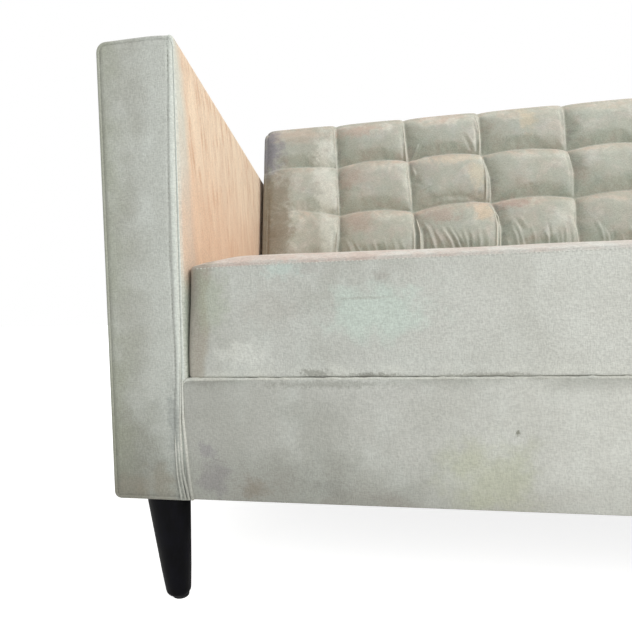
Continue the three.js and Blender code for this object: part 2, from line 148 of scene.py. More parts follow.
# What breaks up the edges of a layer of tone: of one that faces a way, of one along an axis, and of
# a mark, whose clouds are a share of its smaller radius and whose edge fades between two radii
ruffleClouds = {"size": 26 * mm, "low": 0.3, "high": 0.7, "detail": 5, "rough": 0.62}
swayClouds = {"size": 45 * mm, "low": 0.2, "high": 0.8}
markClouds = {"low": 0.25, "high": 0.75, "detail": 5, "rough": 0.65}
markEdge = {"cloudShare": 0.8, "ragged": 0.9, "outer": 1.6, "inner": 0.7}


# The masks that a layer of tone names: clouds, a way that the surface faces, a place along an
# axis, and a mark round a point
def layerMasks(tree, coat):
    masks = [cloudMask(tree, **coat["clouds"])] if "clouds" in coat else []
    smooth = {"interpolation_type": "SMOOTHSTEP"}
    if "facing" in coat:
        direction, low, high = coat["facing"]
        normal = addNode(tree, "NewGeometry").outputs["Normal"]
        dot = {"operation": "DOT_PRODUCT", 1: direction}
        share = addNode(tree, "VectorMath", dot, {0: normal}).outputs["Value"]
        if "ruffled" in coat:
            cloud = cloudMask(tree, **ruffleClouds)
            ruffle = {"operation": "MULTIPLY_ADD", 1: coat["ruffled"]}
            share = addNode(tree, "Math", ruffle, {0: cloud, 2: share})
        masks.append(addNode(tree, "MapRange", {**smooth, 1: low, 2: high}, {0: share}))
    if "along" in coat:
        direction, start, end, wobble = coat["along"]
        coords = addNode(tree, "TexCoord").outputs["Object"]
        dot = {"operation": "DOT_PRODUCT", 1: direction}
        place = addNode(tree, "VectorMath", dot, {0: coords}).outputs["Value"]
        cloud = cloudMask(tree, **swayClouds)
        sway = {"operation": "MULTIPLY_ADD", 1: wobble}
        place = addNode(tree, "Math", sway, {0: cloud, 2: place})
        masks.append(addNode(tree, "MapRange", {**smooth, 1: start, 2: end}, {0: place}))
    if "mark" in coat:
        centre, radii = coat["mark"]
        coords = addNode(tree, "TexCoord").outputs["Object"]
        shape = {"Location": [-c / r for c, r in zip(centre, radii)], "Scale": [1 / r for r in radii]}
        placed = addNode(tree, "Mapping", shape, {0: coords})
        away = addNode(tree, "VectorMath", {"operation": "LENGTH"}, {0: placed}).outputs["Value"]
        cloud = cloudMask(tree, min(radii) * markEdge["cloudShare"], **markClouds)
        fray = {"operation": "MULTIPLY_ADD", 1: markEdge["ragged"]}
        away = addNode(tree, "Math", fray, {0: cloud, 2: away})
        edge = {**smooth, 1: markEdge["outer"], 2: markEdge["inner"]}
        masks.append(addNode(tree, "MapRange", edge, {0: away}))
    return masks


# Lays tones over a first colour, each as strong as the product of its masks and its amount
def layTones(tree, color, layers):
    for tone, amount, masks in layers:
        share = masks[0]
        for mask in masks[1:]:
            share = addNode(tree, "Math", {"operation": "MULTIPLY"}, {0: share, 1: mask})
        share = addNode(tree, "Math", {"operation": "MULTIPLY", 1: amount}, {0: share})
        mix = {"data_type": "RGBA"}
        links = {0: share}
        for socket, value in ((6, color), (7, tone)):
            if isinstance(value, bpy.types.Node):
                links[socket] = value
            else:
                mix[socket] = value
        color = addNode(tree, "Mix", mix, links)
    return color


def layer(tone, amount, **where):
    return {"tone": tone, "amount": amount, **where}


# A place in mm from the arm's outer face, the couch's front and the floor
def fromArm(x, y, z):
    return (armLow.x + x * mm, couchFront + y * mm, floorHeight + z * mm)


def onFront(x, z):
    return fromArm(x, 0, z)


# A place on the reclined back, in mm up its face from the knee
def onBack(x, s):
    return fromArm(x, 530 + s * 0.297, 480 + s * 0.955)


# Marks on one face, stroked and soiled places and places of painted shade and painted highlight: tone,
# amount, place, and reach sideways and up in mm
def marksOn(face, rows):
    marks = []
    for tone, amount, place, (wide, tall) in rows:
        marks.append(layer(tone, amount, mark=(face(*place), (wide * mm, 1, tall * mm))))
    return marks


# Cotton velvet, woven and cut: a soft pile that goes pale where it is brushed up and grey where
# it is brushed down; its layers add a painted pink light where it faces upwards and a painted peach
# light where it faces the foot
velvetLook = {
    "pile": "#b8b9b3",
    "tuftSize": 2.4 * mm,
    "threadSize": 1.3 * mm,  # real threads are 0.4 mm apart, too fine to show
    "threadLength": 5 * mm,
    "contrast": 0.12,
    "pileHeight": 0.5 * mm,
    "shader": {
        "Roughness": 0.9,
        "Specular IOR Level": 0.2,
        "Sheen Weight": 0.4,
        "Sheen Roughness": 0.4,
        "Sheen Tint": hexColor("#f3ece2"),
    },
}
pileClouds = {"low": 0.25, "high": 0.75, "detail": 4, "rough": 0.65}


def makeVelvet(name, look):
    material, tree, principled = newMaterial(name, look["shader"])
    color = hexColor(look["pile"])
    for coat in look["layers"]:
        masks = layerMasks(tree, coat)
        color = layTones(tree, color, [(hexColor(coat["tone"]), coat["amount"], masks)])
    wide, long = look["threadSize"] / mm, look["threadLength"] / mm
    relief = cloudMask(tree, look["tuftSize"], **pileClouds)
    for shape in ((long, long, wide), (wide, wide, long)):
        weave = cloudMask(tree, mm, 0.25, 0.75, 1, shape)
        relief = addNode(tree, "Math", {"operation": "ADD"}, {0: relief, 1: weave})
    depth = look["contrast"]
    tone = addNode(tree, "MapRange", {1: 0.7, 2: 2.3, 3: 1 - depth, 4: 1 + depth}, {0: relief})
    toned = addNode(tree, "VectorMath", {"operation": "SCALE"}, {0: color, "Scale": tone})
    tree.links.new(toned.outputs[0], principled.inputs["Base Color"])
    settings = {"Strength": 0.3, "Distance": look["pileHeight"]}
    bump = addNode(tree, "Bump", settings, {"Height": relief})
    tree.links.new(bump.outputs[0], principled.inputs["Normal"])
    return material


# Clouds that the layers share
brushMarks = {"size": 34 * mm, "low": 0.42, "high": 0.72, "detail": 4, "stretch": (1, 1, 1.6)}
mottle = {"size": 30 * mm, "low": 0.3, "high": 0.62, "detail": 5, "rough": 0.7}
scuffAndHighlightClouds = {"size": 36 * mm, "low": 0.35, "high": 0.7, "detail": 5, "stretch": (1.4, 1.4, 0.9)}
broadPatches = {"size": 130 * mm, "low": 0.34, "high": 0.66, "detail": 2, "warp": 0.5}
lipClouds = {"size": 90 * mm, "low": 0.4, "high": 0.6, "detail": 4, "stretch": (1, 1, 0.4)}
streakClouds = {
    "size": 8 * mm, "low": 0.46, "high": 0.7, "stretch": (1, 1.3, 7), "warp": 0.9, "lean": 0.22}
wideStreaks = {
    "size": 22 * mm, "low": 0.42, "high": 0.7, "stretch": (1, 1, 5), "warp": 0.8, "lean": 0.14}
# Ways that a surface faces: direction, and the shares at which a layer starts and is full
armFace = ((0, -1, 0), 0.4, 0.9)
armSide = ((0.98, 0, 0.1), 0.3, 0.9)
# Facings that lay the back's painted shade and painted light
turnedDown = ((-0.6, 0, -0.8), -0.22, 0.26)
turnedUp = ((0.5, 0, 0.86), 0.28, 0.62)
topEdge = ((-0.1, 0, 1), 0.36, 0.66)
# Places along an axis: its direction, where a layer starts and where it is full, and its wobble
# Painted shade: the cloth darker towards the floor
floorShadeBand = ((0, 0, 1), floorHeight + 0.262, floorHeight + 0.165, 0.03)
floorScuffs = ((0, 0, 1), floorHeight + 0.225, floorHeight + 0.17, 0.03)
# Painted shade on the cushion's corner where it turns towards the arm
seatShadeByArm = ((1, 0, -0.05), cushionLow.x + 9 * mm, cushionLow.x - 1 * mm, -8 * mm)
# Painted highlight along the cushion's lower edge
seatHemHighlight = ((0, 0, 1), cushionLow.z + 16 * mm, cushionLow.z + 3 * mm, -9 * mm)
# Painted shade under the rail's lip, beneath the cushion
underLipShade = ((0, 0, 1), railHigh.z - 26 * mm, railHigh.z - 3 * mm, -8 * mm)
# Painted shade on the cloth near the arm
nearArmShade = ((1, 0, 0), railLow.x + 210 * mm, railLow.x + 20 * mm, 0.04)
# Painted light, paler the further from the arm
farLitSide = ((1, 0, 0), railLow.x + 180 * mm, railLow.x + 560 * mm, 0.05)
# Painted warm light on the arm's inner face, behind its front edge
armGlow = ((0, 1, 0.12), couchFront + 88 * mm, couchFront + 118 * mm, -6 * mm)
# Painted warm light, deeper peach towards the arm's top
upperWarmLight = ((0, 0, -1), -0.66, -0.46, 0.05)
armRear = ((0, 1, 0), couchFront + 735 * mm, couchFront + 765 * mm, 0)
# Painted shade low on the arm's inner face, beside the cushion
armInnerLowShade = ((0, 0.25, 1), 0.395, 0.33, 0.02)
# Painted shade on the arm's front, darker towards the floor
armFrontLowShade = ((0.1, 0, 1), 0.33, 0.13, 0.05)
# Painted shade by the arm front's outer edge
armOuterShade = ((1, 0, 0), armLow.x + 58 * mm, armLow.x + 6 * mm, 0.03)
# Painted light on the arm front beside its inner seam
armSeamSideLight = ((1, 0, 0), armLow.x + 44 * mm, armLow.x + 90 * mm, 0.03)
# Painted highlight on the raised ribbon between the arm's seam and its stitches
armRibbonHighlight = ((1, 0, 0), armHigh.x - 14 * mm, armHigh.x - 8 * mm, -2 * mm)

brushedLayers = [
    layer("#a8a9a1", 0.6, clouds=broadPatches),
    layer("#c3c7c1", 0.5, clouds=brushMarks),
]
# Painted shade that darkens the cloth towards the floor, and brownish scuffs at its foot
floorShadeAndScuffLayers = [
    layer("#7e8077", 0.55, along=floorShadeBand),
    layer("#857c73", 0.4, along=floorScuffs, clouds=scuffAndHighlightClouds),
]
# Painted shade where the cloth faces left, away from the light
leftShadeLayer = layer("#918c8e", 0.5, facing=((-1, 0, 0), 0.35, 0.95))
# Painted peach light where the cloth faces the foot
footwardLightLayer = layer("#d3c2b2", 0.35, facing=((0.98, 0, 0.1), 0.3, 0.95))
bandLayers = brushedLayers + [leftShadeLayer, footwardLightLayer] + floorShadeAndScuffLayers + [
    layer("#9c9d96", 0.5, along=nearArmShade),
    layer("#d0d1ca", 0.6, along=farLitSide),
    layer("#85867e", 0.5, facing=armFace, along=underLipShade, clouds=lipClouds),
] + marksOn(onFront, (
    ("#858087", 0.38, (127, 226), (15, 12)),
    ("#817c80", 0.42, (138, 190), (24, 26)),
    ("#84796a", 0.5, (188, 181), (26, 18)),
    ("#b4b79f", 0.55, (462, 197), (62, 56)),
    # painted shade under the rail's lip
    ("#83847b", 0.42, (280, 311), (90, 6)),
    ("#94958d", 0.3, (270, 235), (56, 66)),
    ("#85867f", 0.4, (285, 184), (28, 15)),
    ("#61614f", 0.7, (498, 254), (3.2, 4.2)),
))
velvet = makeVelvet("cutCottonVelvet", {**velvetLook, "contrast": 0.1, "layers": bandLayers})
# The same velvet on the arm: its inner face takes a painted warm peach light, broken into long salmon
# streaks where the pile is stroked upwards
armLayers = brushedLayers + [
    leftShadeLayer,
    # painted light on the arm's inner face, then painted peach light in streaks
    layer("#d6d6ca", 0.8, facing=armSide),
    layer("#e2cab0", 1.0, facing=armSide, along=armGlow),
    layer("#cb9d78", 0.75, facing=armSide, along=armGlow, clouds=streakClouds),
    layer("#f4dfc4", 0.7, facing=armSide, along=armGlow, clouds=wideStreaks),
    layer("#d9af8f", 0.6, facing=armSide, along=upperWarmLight),
    layer("#aab0a3", 1.0, facing=armSide, along=armInnerLowShade),
    # towards the back the inner face returns to the pile's own tone
    layer("#adafa7", 1.0, facing=armSide, along=armRear),
    layer("#83847a", 0.65, facing=armFace, along=armFrontLowShade),
    layer("#979b87", 0.5, facing=armFace, along=armOuterShade),
    layer("#c9cec9", 0.45, facing=armFace, along=armSeamSideLight),
    layer("#d6dcd4", 0.6, facing=armFace, along=armRibbonHighlight),
    # painted shade beside the arm's stitched groove
    layer("#858a88", 0.45, mark=(fromArm(84, 0, 262), (10 * mm, 60 * mm, 52 * mm))),
] + floorShadeAndScuffLayers + [
    layer("#8f8a7b", 0.45, mark=(fromArm(64, 0, 180), (34 * mm, 60 * mm, 28 * mm))),
    # painted shade on the arm's inner face by the cushion
    layer("#8f968a", 0.6, mark=(fromArm(105.5, 4, 375), (5.2 * mm, 40 * mm, 70 * mm))),
    layer("#8a8578", 0.4, mark=(fromArm(22, 0, 176), (26 * mm, 60 * mm, 20 * mm))),
]
# The arm's pile is a darker copy of the velvet, painted shade on the arm's front
armLook = {"pile": "#adafa7", "layers": armLayers}
armVelvet = makeVelvet("cutCottonVelvetStrokedWarmLit", {**velvetLook, **armLook})
# The same velvet on the loose cushion, with a painted pale light on its top and a mottled painted pink
# light where it faces upwards
upwardWarmLight = ((0.1, -0.15, 0.98), 0.3, 0.9)
seatLayers = brushedLayers + [
    layer("#dfdfd8", 0.9, facing=((0, 0, 1), 0.5, 0.95)),
    layer("#c4aca0", 0.7, facing=upwardWarmLight, clouds={**mottle, "size": 52 * mm}),
    leftShadeLayer,
    footwardLightLayer,
    layer("#968c7b", 0.55, along=seatShadeByArm),
    layer("#d6d8cf", 0.55, along=seatHemHighlight, clouds=scuffAndHighlightClouds),
    layer("#d0d1ca", 0.5, along=farLitSide),
] + marksOn(onFront, (
    ("#a0a893", 0.45, (136, 418), (30, 48)),
    ("#d3d5ce", 0.55, (182, 347), (42, 20)),
    ("#bccdc6", 0.5, (231, 452), (30, 12)),
    ("#aba79f", 0.3, (215, 405), (40, 30)),
    ("#bfcdc4", 0.65, (345, 400), (75, 42)),
    ("#a29f98", 0.55, (347, 440), (12, 9)),
    ("#a3a49c", 0.5, (330, 415), (42, 2.2)),
    # painted shade along the cushion's lower edge, over the gap to the rail
    ("#85857c", 0.6, (268, 325), (22, 6)),
    ("#7c7c73", 0.7, (336, 321), (36, 4.5)),
    ("#8c8c82", 0.55, (470, 321), (54, 4)),
    ("#a7a6a0", 0.5, (262, 453), (22, 9)),
))
seatLook = {"pile": "#bcbeb8", "layers": seatLayers}
seatVelvet = makeVelvet("cutCottonVelvetLitTop", {**velvetLook, **seatLook})
# The same velvet on the back, with painted shade where each tuft turns down or to the left and painted
# pale and pink light where it turns up
backLayers = brushedLayers + [
    layer("#d2d2c6", 0.5, clouds={**brushMarks, "size": 44 * mm, "warp": 0.8}),
    # painted shade where the tufts turn down and left, painted light where they turn up, pink at their
    # top edges
    layer("#7d8475", 0.8, facing=turnedDown, ruffled=0.18),
    layer("#dcdcd0", 0.85, facing=turnedUp, ruffled=0.18),
    layer("#cfb6a2", 0.8, facing=topEdge, clouds=mottle),
    layer("#918c8e", 0.75, facing=((-1, 0, 0), 0.3, 0.9)),
    layer("#b3a598", 0.5, clouds={**mottle, "size": 48 * mm}),
    layer("#a3aa9d", 0.6, clouds={**mottle, "size": 60 * mm, "warp": 1.0}),
] + marksOn(onBack, (
    # the three darker marks by the arm are painted shade; the pale marks just left of the first seam and
    # the warm pale marks further right are painted highlights
    ("#85808a", 0.75, (134, 342), (40, 80)),
    ("#8a8273", 0.75, (140, 190), (56, 130)),
    ("#8a8273", 0.7, (140, 76), (56, 90)),
    ("#d6d7cd", 0.7, (270, 300), (34, 100)),
    ("#d6d7cd", 0.6, (278, 186), (32, 76)),
    ("#d2d3c9", 0.5, (282, 100), (24, 60)),
    ("#b3a595", 0.6, (215, 385), (80, 30)),
    ("#b8a496", 0.6, (350, 388), (70, 20)),
    ("#ac9c90", 0.65, (336, 258), (40, 34)),
    ("#aa988b", 0.6, (352, 134), (52, 30)),
    ("#d2c3ae", 0.5, (575, 284), (60, 14)),
    ("#dcbfa0", 0.45, (632, 140), (30, 24)),
    ("#d2c2a6", 0.4, (626, 242), (24, 50)),
    ("#aa978c", 0.6, (540, 140), (52, 24)),
    ("#ab958a", 0.65, (702, 158), (50, 16)),
    ("#d8c09c", 0.3, (752, 376), (22, 40)),
))
backVelvet = makeVelvet("cutCottonVelvetTufted", {**velvetLook, "layers": backLayers})
# The same velvet in a paler copy for the welts and folds that stand proud, a painted highlight
litEdgeLook = {"pile": "#cccdc4", "layers": brushedLayers + floorShadeAndScuffLayers}
litEdgeVelvet = makeVelvet("cutCottonVelvetLitEdge", {**velvetLook, **litEdgeLook})
# The same velvet in a pale copy along the back's long tucks, a painted highlight on their edges
paleLook = {"pile": "#d6d4c6", "layers": brushedLayers}
paleVelvet = makeVelvet("cutCottonVelvetTuckEdge", {**velvetLook, **paleLook})
# Plain-woven platform cloth in the velvet's own grey, without the pile
platformLook = {"pile": "#a9aaa2", "layers": brushedLayers}
platformVelvet = makeVelvet("plainWovenPlatformCloth", {**velvetLook, **platformLook})


# The other finishes: two tones in a cloudy pattern of a real size, with relief and gloss
def makeFinish(name, first, second, size, roughness, levels=(0.35, 0.65), stretch=(1, 1, 1),
               warp=0.0, relief=0.2 * mm, shader=None):
    material, tree, principled = newMaterial(name, shader)
    coarse = cloudMask(tree, size, *levels, 4, stretch, 0.6, warp)
    fine = cloudMask(tree, size / 4, 0.5, 0.75, 2, stretch)
    dark = hexColor(second)
    color = layTones(tree, hexColor(first), [(dark, 1.0, [coarse]), (dark, 0.4, [fine])])
    tree.links.new(color.outputs[2], principled.inputs["Base Color"])
    gloss = addNode(tree, "MapRange", {3: roughness[0], 4: roughness[1]}, {0: coarse})
    tree.links.new(gloss.outputs[0], principled.inputs["Roughness"])
    height = addNode(tree, "Math", {"operation": "ADD"}, {0: coarse, 1: fine})
    bump = addNode(tree, "Bump", {"Strength": 0.4, "Distance": relief}, {"Height": height})
    tree.links.new(bump.outputs[0], principled.inputs["Normal"])
    return material


alongX, alongY, alongZ = (14, 1, 1), (1, 14, 1), (1, 1, 14)
metal = {"relief": 0.02 * mm, "shader": {"Metallic": 1.0}}
# growth rings as sawn along the board, 6 mm apart
grain = {"roughness": (0.6, 0.72), "levels": (0.36, 0.68), "warp": 1.2}
pine = {**grain, "first": "#d8b98e", "second": "#b98f5f", "size": 6 * mm}
# Planed pine, unfinished: tan boards with wavy darker growth rings along their length
pineX = makeFinish("planedPineAlong", **pine, stretch=alongX)
pineY = makeFinish("planedPineAcross", **pine, stretch=alongY)
pineZ = makeFinish("planedPineUpright", **pine, stretch=alongZ)
# Rotary-cut birch plywood: paler and calmer than the pine, with long soft figure
birchPly = makeFinish("rotaryCutBirchPlywood", "#e2ca9f", "#cdac7c", 9 * mm, **grain, stretch=alongZ)
# Pressed hardboard: brown fibres, one side smooth enough for a dull shine
hardboard = makeFinish("pressedHardboard", "#7a5c3e", "#93704c", 2 * mm, (0.6, 0.8))
# Open-cell polyurethane foam: cream, with fine pores that kill any gloss
foamCream = makeFinish("openCellFoam", "#e9dfb4", "#d3c48b", 2.5 * mm, (0.95, 1.0), (0.4, 0.7),
                       relief=0.6 * mm)
# Needled felt: tangled grey fibres of several tones
greyFelt = makeFinish("needledFelt", "#a9a59e", "#85817b", 5 * mm, (0.92, 1.0), stretch=(3, 3, 1),
                      relief=0.5 * mm)
# Spun-bonded polypropylene: black sheet, faintly mottled where its fibres bunch
dustCloth = makeFinish("spunBondedCloth", "#1b1b1d", "#2f2f32", 3 * mm, (0.75, 0.9), (0.4, 0.66))
# Woven rubber webbing: dark green with raised ribs along its length
rubberWebbing = makeFinish("wovenRubberWebbing", "#35403b", "#4d5b52", 2 * mm, (0.8, 0.95),
                           stretch=alongX, relief=0.4 * mm)
# Zinc-plated steel: bright grey, clouded where the plating is uneven
zincSteel = makeFinish("zincPlatedSteel", "#a9acb0", "#8e9297", 4 * mm, (0.28, 0.42), **metal)
# Oil-tempered spring wire: dark blue grey with a dull shine
springWire = makeFinish("oilTemperedWire", "#4c5055", "#383b40", 5 * mm, (0.38, 0.5), **metal)
# Moulded nylon: black with an eggshell sheen
nylon = makeFinish("mouldedNylon", "#141416", "#1d1d20", 1.5 * mm, (0.45, 0.55), (0.4, 0.6),
                   relief=0.05 * mm)
# Satin black lacquer on turned beech: near black, a little glossier where it is handled
lacquer = makeFinish("satinBlackLacquer", "#060609", "#0b0b12", 14 * mm, (0.36, 0.48), (0.4, 0.7),
                     (1, 1, 3), relief=0.08 * mm, shader={"Specular IOR Level": 0.1})
# Spun polyester sewing thread, a shade darker than the velvet it sinks into
thread = {"size": 1.2 * mm, "roughness": (0.6, 0.75), "levels": (0.4, 0.6)}
sewingThread = makeFinish("spunPolyesterThread", "#8d8f83", "#a4a79b", **thread)
# The same thread in a pale copy on the cushion, a painted highlight where it lies on top of the pile
paleThread = makeFinish("spunPolyesterThreadPale", "#dcded6", "#c6c9c0", **thread)
# Herringbone zip tape: a dull grey-green ribbon, ribbed across
zipTapeWeave = makeFinish("wovenZipTape", "#8a8d84", "#777a71", 1.2 * mm, (0.8, 0.9), (0.4, 0.6),
                          (1, 1, 4))
print("materials made")


# Mesh helpers
def finishPiece(name, bm, material, body="couch_frame", replaced=(), sharp=None):
    mesh = bpy.data.meshes.new(name)
    bm.to_mesh(mesh)
    bm.free()
    mesh.shade_smooth()
    if sharp is not None:
        mesh.set_sharp_from_angle(angle=math.radians(sharp))
    mesh.materials.append(material)
    piece = bpy.data.objects.new(name, mesh)
    bpy.context.scene.collection.objects.link(piece)
    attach(piece, body)
    if replaced:
        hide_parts(*replaced)
    return piece


def evenStep(low, high, value):
    return min(1.0, max(0.0, (value - low) / (high - low)))


def smoothStep(low, high, value):
    t = evenStep(low, high, value)
    return t * t * (3 - 2 * t)


def bevelThese(bm, parts, radius, segments=4, affect="EDGES"):
    look = {"segments": segments, "profile": 0.5, "affect": affect, "material": -1}
    bmesh.ops.bevel(bm, geom=parts, offset=radius, offset_type="OFFSET", **look)


def sliceAt(bm, axis, places):
    normal = Vector([1.0 if i == axis else 0.0 for i in range(3)])
    for place in places:
        everything = bm.verts[:] + bm.edges[:] + bm.faces[:]
        bmesh.ops.bisect_plane(bm, geom=everything, plane_co=normal * place, plane_no=normal)


def sliceEvenly(bm, spans, steps):
    for axis, ((low, high), step) in enumerate(zip(spans, steps)):
        if step:
            count = max(1, round((high - low) / step))
            sliceAt(bm, axis, [low + (high - low) * i / count for i in range(1, count)])


def cloudShift(point, size, height):
    return noise.noise(point / size) * height


def bulge(u, v):
    return (1 - u**6) * (1 - v**6)


def turnOut(bm):
    bmesh.ops.recalc_face_normals(bm, faces=bm.faces)


# The covers' cloth, blown up against its seams: it is cut a little too large for what fills it
coverCloth = {
    "quality": 3,
    "mass": 0.25,
    "tension_stiffness": 12,
    "compression_stiffness": 12,
    "shear_stiffness": 4,
    "bending_stiffness": 0.35,
    "use_pressure": True,
}


def puffCover(piece, held, look):
    group = piece.vertex_groups.new(name="sewnDown")
    group.add(list(held), 1.0, "REPLACE")
    cloth = piece.modifiers.new("coverCloth", "CLOTH")
    own = {
        "vertex_group_mass": group.name,
        "shrink_min": look["growth"],
        "uniform_pressure_force": look["pressure"],
    }
    for key, value in {**coverCloth, **own}.items():
        setattr(cloth.settings, key, value)
    cloth.settings.effector_weights.gravity = 0
    cloth.collision_settings.use_collision = False
    cloth.point_cache.frame_start = 1
    cloth.point_cache.frame_end = look["frames"]
    scene = bpy.context.scene
    for frameNumber in range(1, look["frames"] + 1):
        scene.frame_set(frameNumber)
    puffed = piece.evaluated_get(bpy.context.evaluated_depsgraph_get())
    found = [vert.co.copy() for vert in puffed.data.vertices]
    print(piece.name, "puffed in", look["frames"], "frames")
    piece.modifiers.remove(cloth)
    piece.vertex_groups.remove(group)
    scene.frame_set(1)
    for vert, place in zip(piece.data.vertices, found):
        move = place - vert.co
        if move.length > look["cap"]:
            move *= look["cap"] / move.length
        vert.co += move


# Small thread stitches in a row along a line of points
stitch = {"length": 3.4 * mm, "pitch": 5.0 * mm, "thickness": 0.6 * mm}


def sewLine(bm, points):
    size = (stitch["length"] / 2, stitch["thickness"], stitch["thickness"], 1)
    for start, end in zip(points, points[1:]):
        along = end - start
        count = max(1, round(along.length / stitch["pitch"]))
        turn = along.to_track_quat("X", "Z").to_matrix().to_4x4()
        for i in range(count):
            place = Matrix.Translation(start + along * (i + 0.5) / count)
            shape = place @ turn @ Matrix.Diagonal(size)
            bmesh.ops.create_icosphere(bm, subdivisions=1, radius=1, matrix=shape)


# Extrudes a region and gives its new faces and points
def extrudeRegion(bm, faces):
    edges = list(dict.fromkeys(edge for face in faces for edge in face.edges))
    made = bmesh.ops.extrude_face_region(bm, geom=faces + edges)["geom"]
    verts = [part for part in made if isinstance(part, bmesh.types.BMVert)]
    return [part for part in made if isinstance(part, bmesh.types.BMFace)], verts


# Draws a point of a rounded rectangle's outline inwards; its corners end square
def drawIn(vert, size, corners, before, after):
    right, upper = vert.co.x > size[0] / 2, vert.co.y > size[1] / 2
    radius = corners[(2 if right else 3) if upper else (1 if right else 0)]
    side = Vector((1 if right else -1, 1 if upper else -1))
    middle = Vector((size[0] - radius if right else radius, size[1] - radius if upper else radius))
    if max(before, after) < radius:
        place = middle + (vert.co.xy - middle) * (radius - after) / (radius - before)
    else:
        place = middle + side * (radius - after)
    vert.co.xy = place


# A closed panel built flat on X and Y with its padded face up, rolled over at its edges and
# sunk in a seam all round
def makePanel(size, corners, roll, seam, steps):
    width, height, depth = size
    bm = bmesh.new()
    bmesh.ops.create_grid(bm, x_segments=1, y_segments=1, size=0.5)
    bmesh.ops.translate(bm, verts=bm.verts, vec=(0.5, 0.5, 0))
    bmesh.ops.scale(bm, verts=bm.verts, vec=(width, height, 1))
    for place, radius in zip(((0, 0), (width, 0), (width, height), (0, height)), corners):
        corner = min(bm.verts, key=lambda v: (v.co - Vector((*place, 0))).length)
        bevelThese(bm, [corner], radius, 5, "VERTICES")
    top, raised = extrudeRegion(bm, bm.faces[:])
    bmesh.ops.translate(bm, verts=raised, vec=(0, 0, depth - roll[1]))
    turnOut(bm)
    turns = [math.pi / 2 * k / 4 for k in range(5)]
    insets = []
    for before, after in zip(turns, turns[1:]):
        inward = roll[0] * (math.cos(before) - math.cos(after))
        insets.append((inward, roll[1] * (math.sin(after) - math.sin(before))))
    if seam:
        flat, wide, deep = seam
        insets += [(flat, 0), (wide / 2, -deep), (wide / 2, deep)]
    done = 0.0
    for inward, rise in insets:
        top, moved = extrudeRegion(bm, top)
        for vert in moved:
            drawIn(vert, size, corners, done, done + inward)
            vert.co.z += rise
        done += inward
    bmesh.ops.remove_doubles(bm, verts=bm.verts, dist=0.01 * mm)
    sliceEvenly(bm, ((0, width), (0, height), (0, depth)), steps)
    return bm


towardFront = Matrix(((1, 0, 0), (0, 0, -1), (0, 1, 0))).to_4x4()
towardRear = Matrix(((-1, 0, 0), (0, 0, 1), (0, 1, 0))).to_4x4()
towardFoot = Matrix(((0, 0, 1), (1, 0, 0), (0, 1, 0))).to_4x4()


# The arm: a padded box with a seamed front panel, top-stitched beside its inner seam
arm = {
    "corners": (9 * mm, 4.2 * mm, 6 * mm, 13 * mm),
    "roll": (3 * mm, 3 * mm),
    "seam": (1.7 * mm, 1.7 * mm, 1.3 * mm),
    "outerSwell": 3.4 * mm,
    "topSwell": 4.2 * mm,
    "lowerLap": 3 * mm,
    "panelCrown": 1.4 * mm,
    "innerSwell": 3.7 * mm,
    "innerDrop": 2.2 * mm,
    "dropReach": 34 * mm,
    "seamReach": 40 * mm,  # the panel's seam is drawn sideways within this much of the inner face
    "groove": (1.2 * mm, 1.1 * mm),  # depth and half width
    "ribbonRise": 1.3 * mm,
    "pucker": (0.7 * mm, 7 * mm),
    "grid": (12 * mm, 14 * mm, 20 * mm),
    "rearEdge": 6 * mm,
    # height from the floor, then how far in from the inner face the seam and the stitches run
    "seamRun": ((160, 6.4), (313, 6.4), (349, 5.0), (717, 1.7), (760, 1.6)),
    "stitchRun": ((160, 12.6), (175, 13.2), (204, 15.8), (242, 18.1), (292, 16.2), (313, 13.4),
                  (349, 13.2), (420, 14.5), (484, 15.0), (610, 12.4), (718, 8.7), (760, 8.5)),
}


def along(run, height):
    for (low, first), (high, second) in zip(run, run[1:]):
        if height <= high * mm:
            return (first + (second - first) * evenStep(low * mm, high * mm, height)) * mm
    return run[-1][1] * mm


def armFrontRise(inward, height, width):
    seam, stitches = along(arm["seamRun"], height), along(arm["stitchRun"], height)
    u = 1 - 2 * inward / width
    v = evenStep(armLow.z, armHigh.z, height) * 2 - 1
    rise = arm["panelCrown"] * bulge(u, v)
    deep, spread = arm["groove"]
    rise -= deep * math.exp(-(((inward - stitches) / spread) ** 2))
    ribbon = seam + 1 * mm
    if ribbon < inward < stitches:
        rise += arm["ribbonRise"] * math.sin(math.pi * evenStep(ribbon, stitches, inward))
    pucker = noise.noise(Vector((3.1, inward / (30 * mm), height / (11 * mm))))
    tall, reach = arm["pucker"]
    return rise + tall * pucker * math.exp(-abs(inward - stitches) / reach)


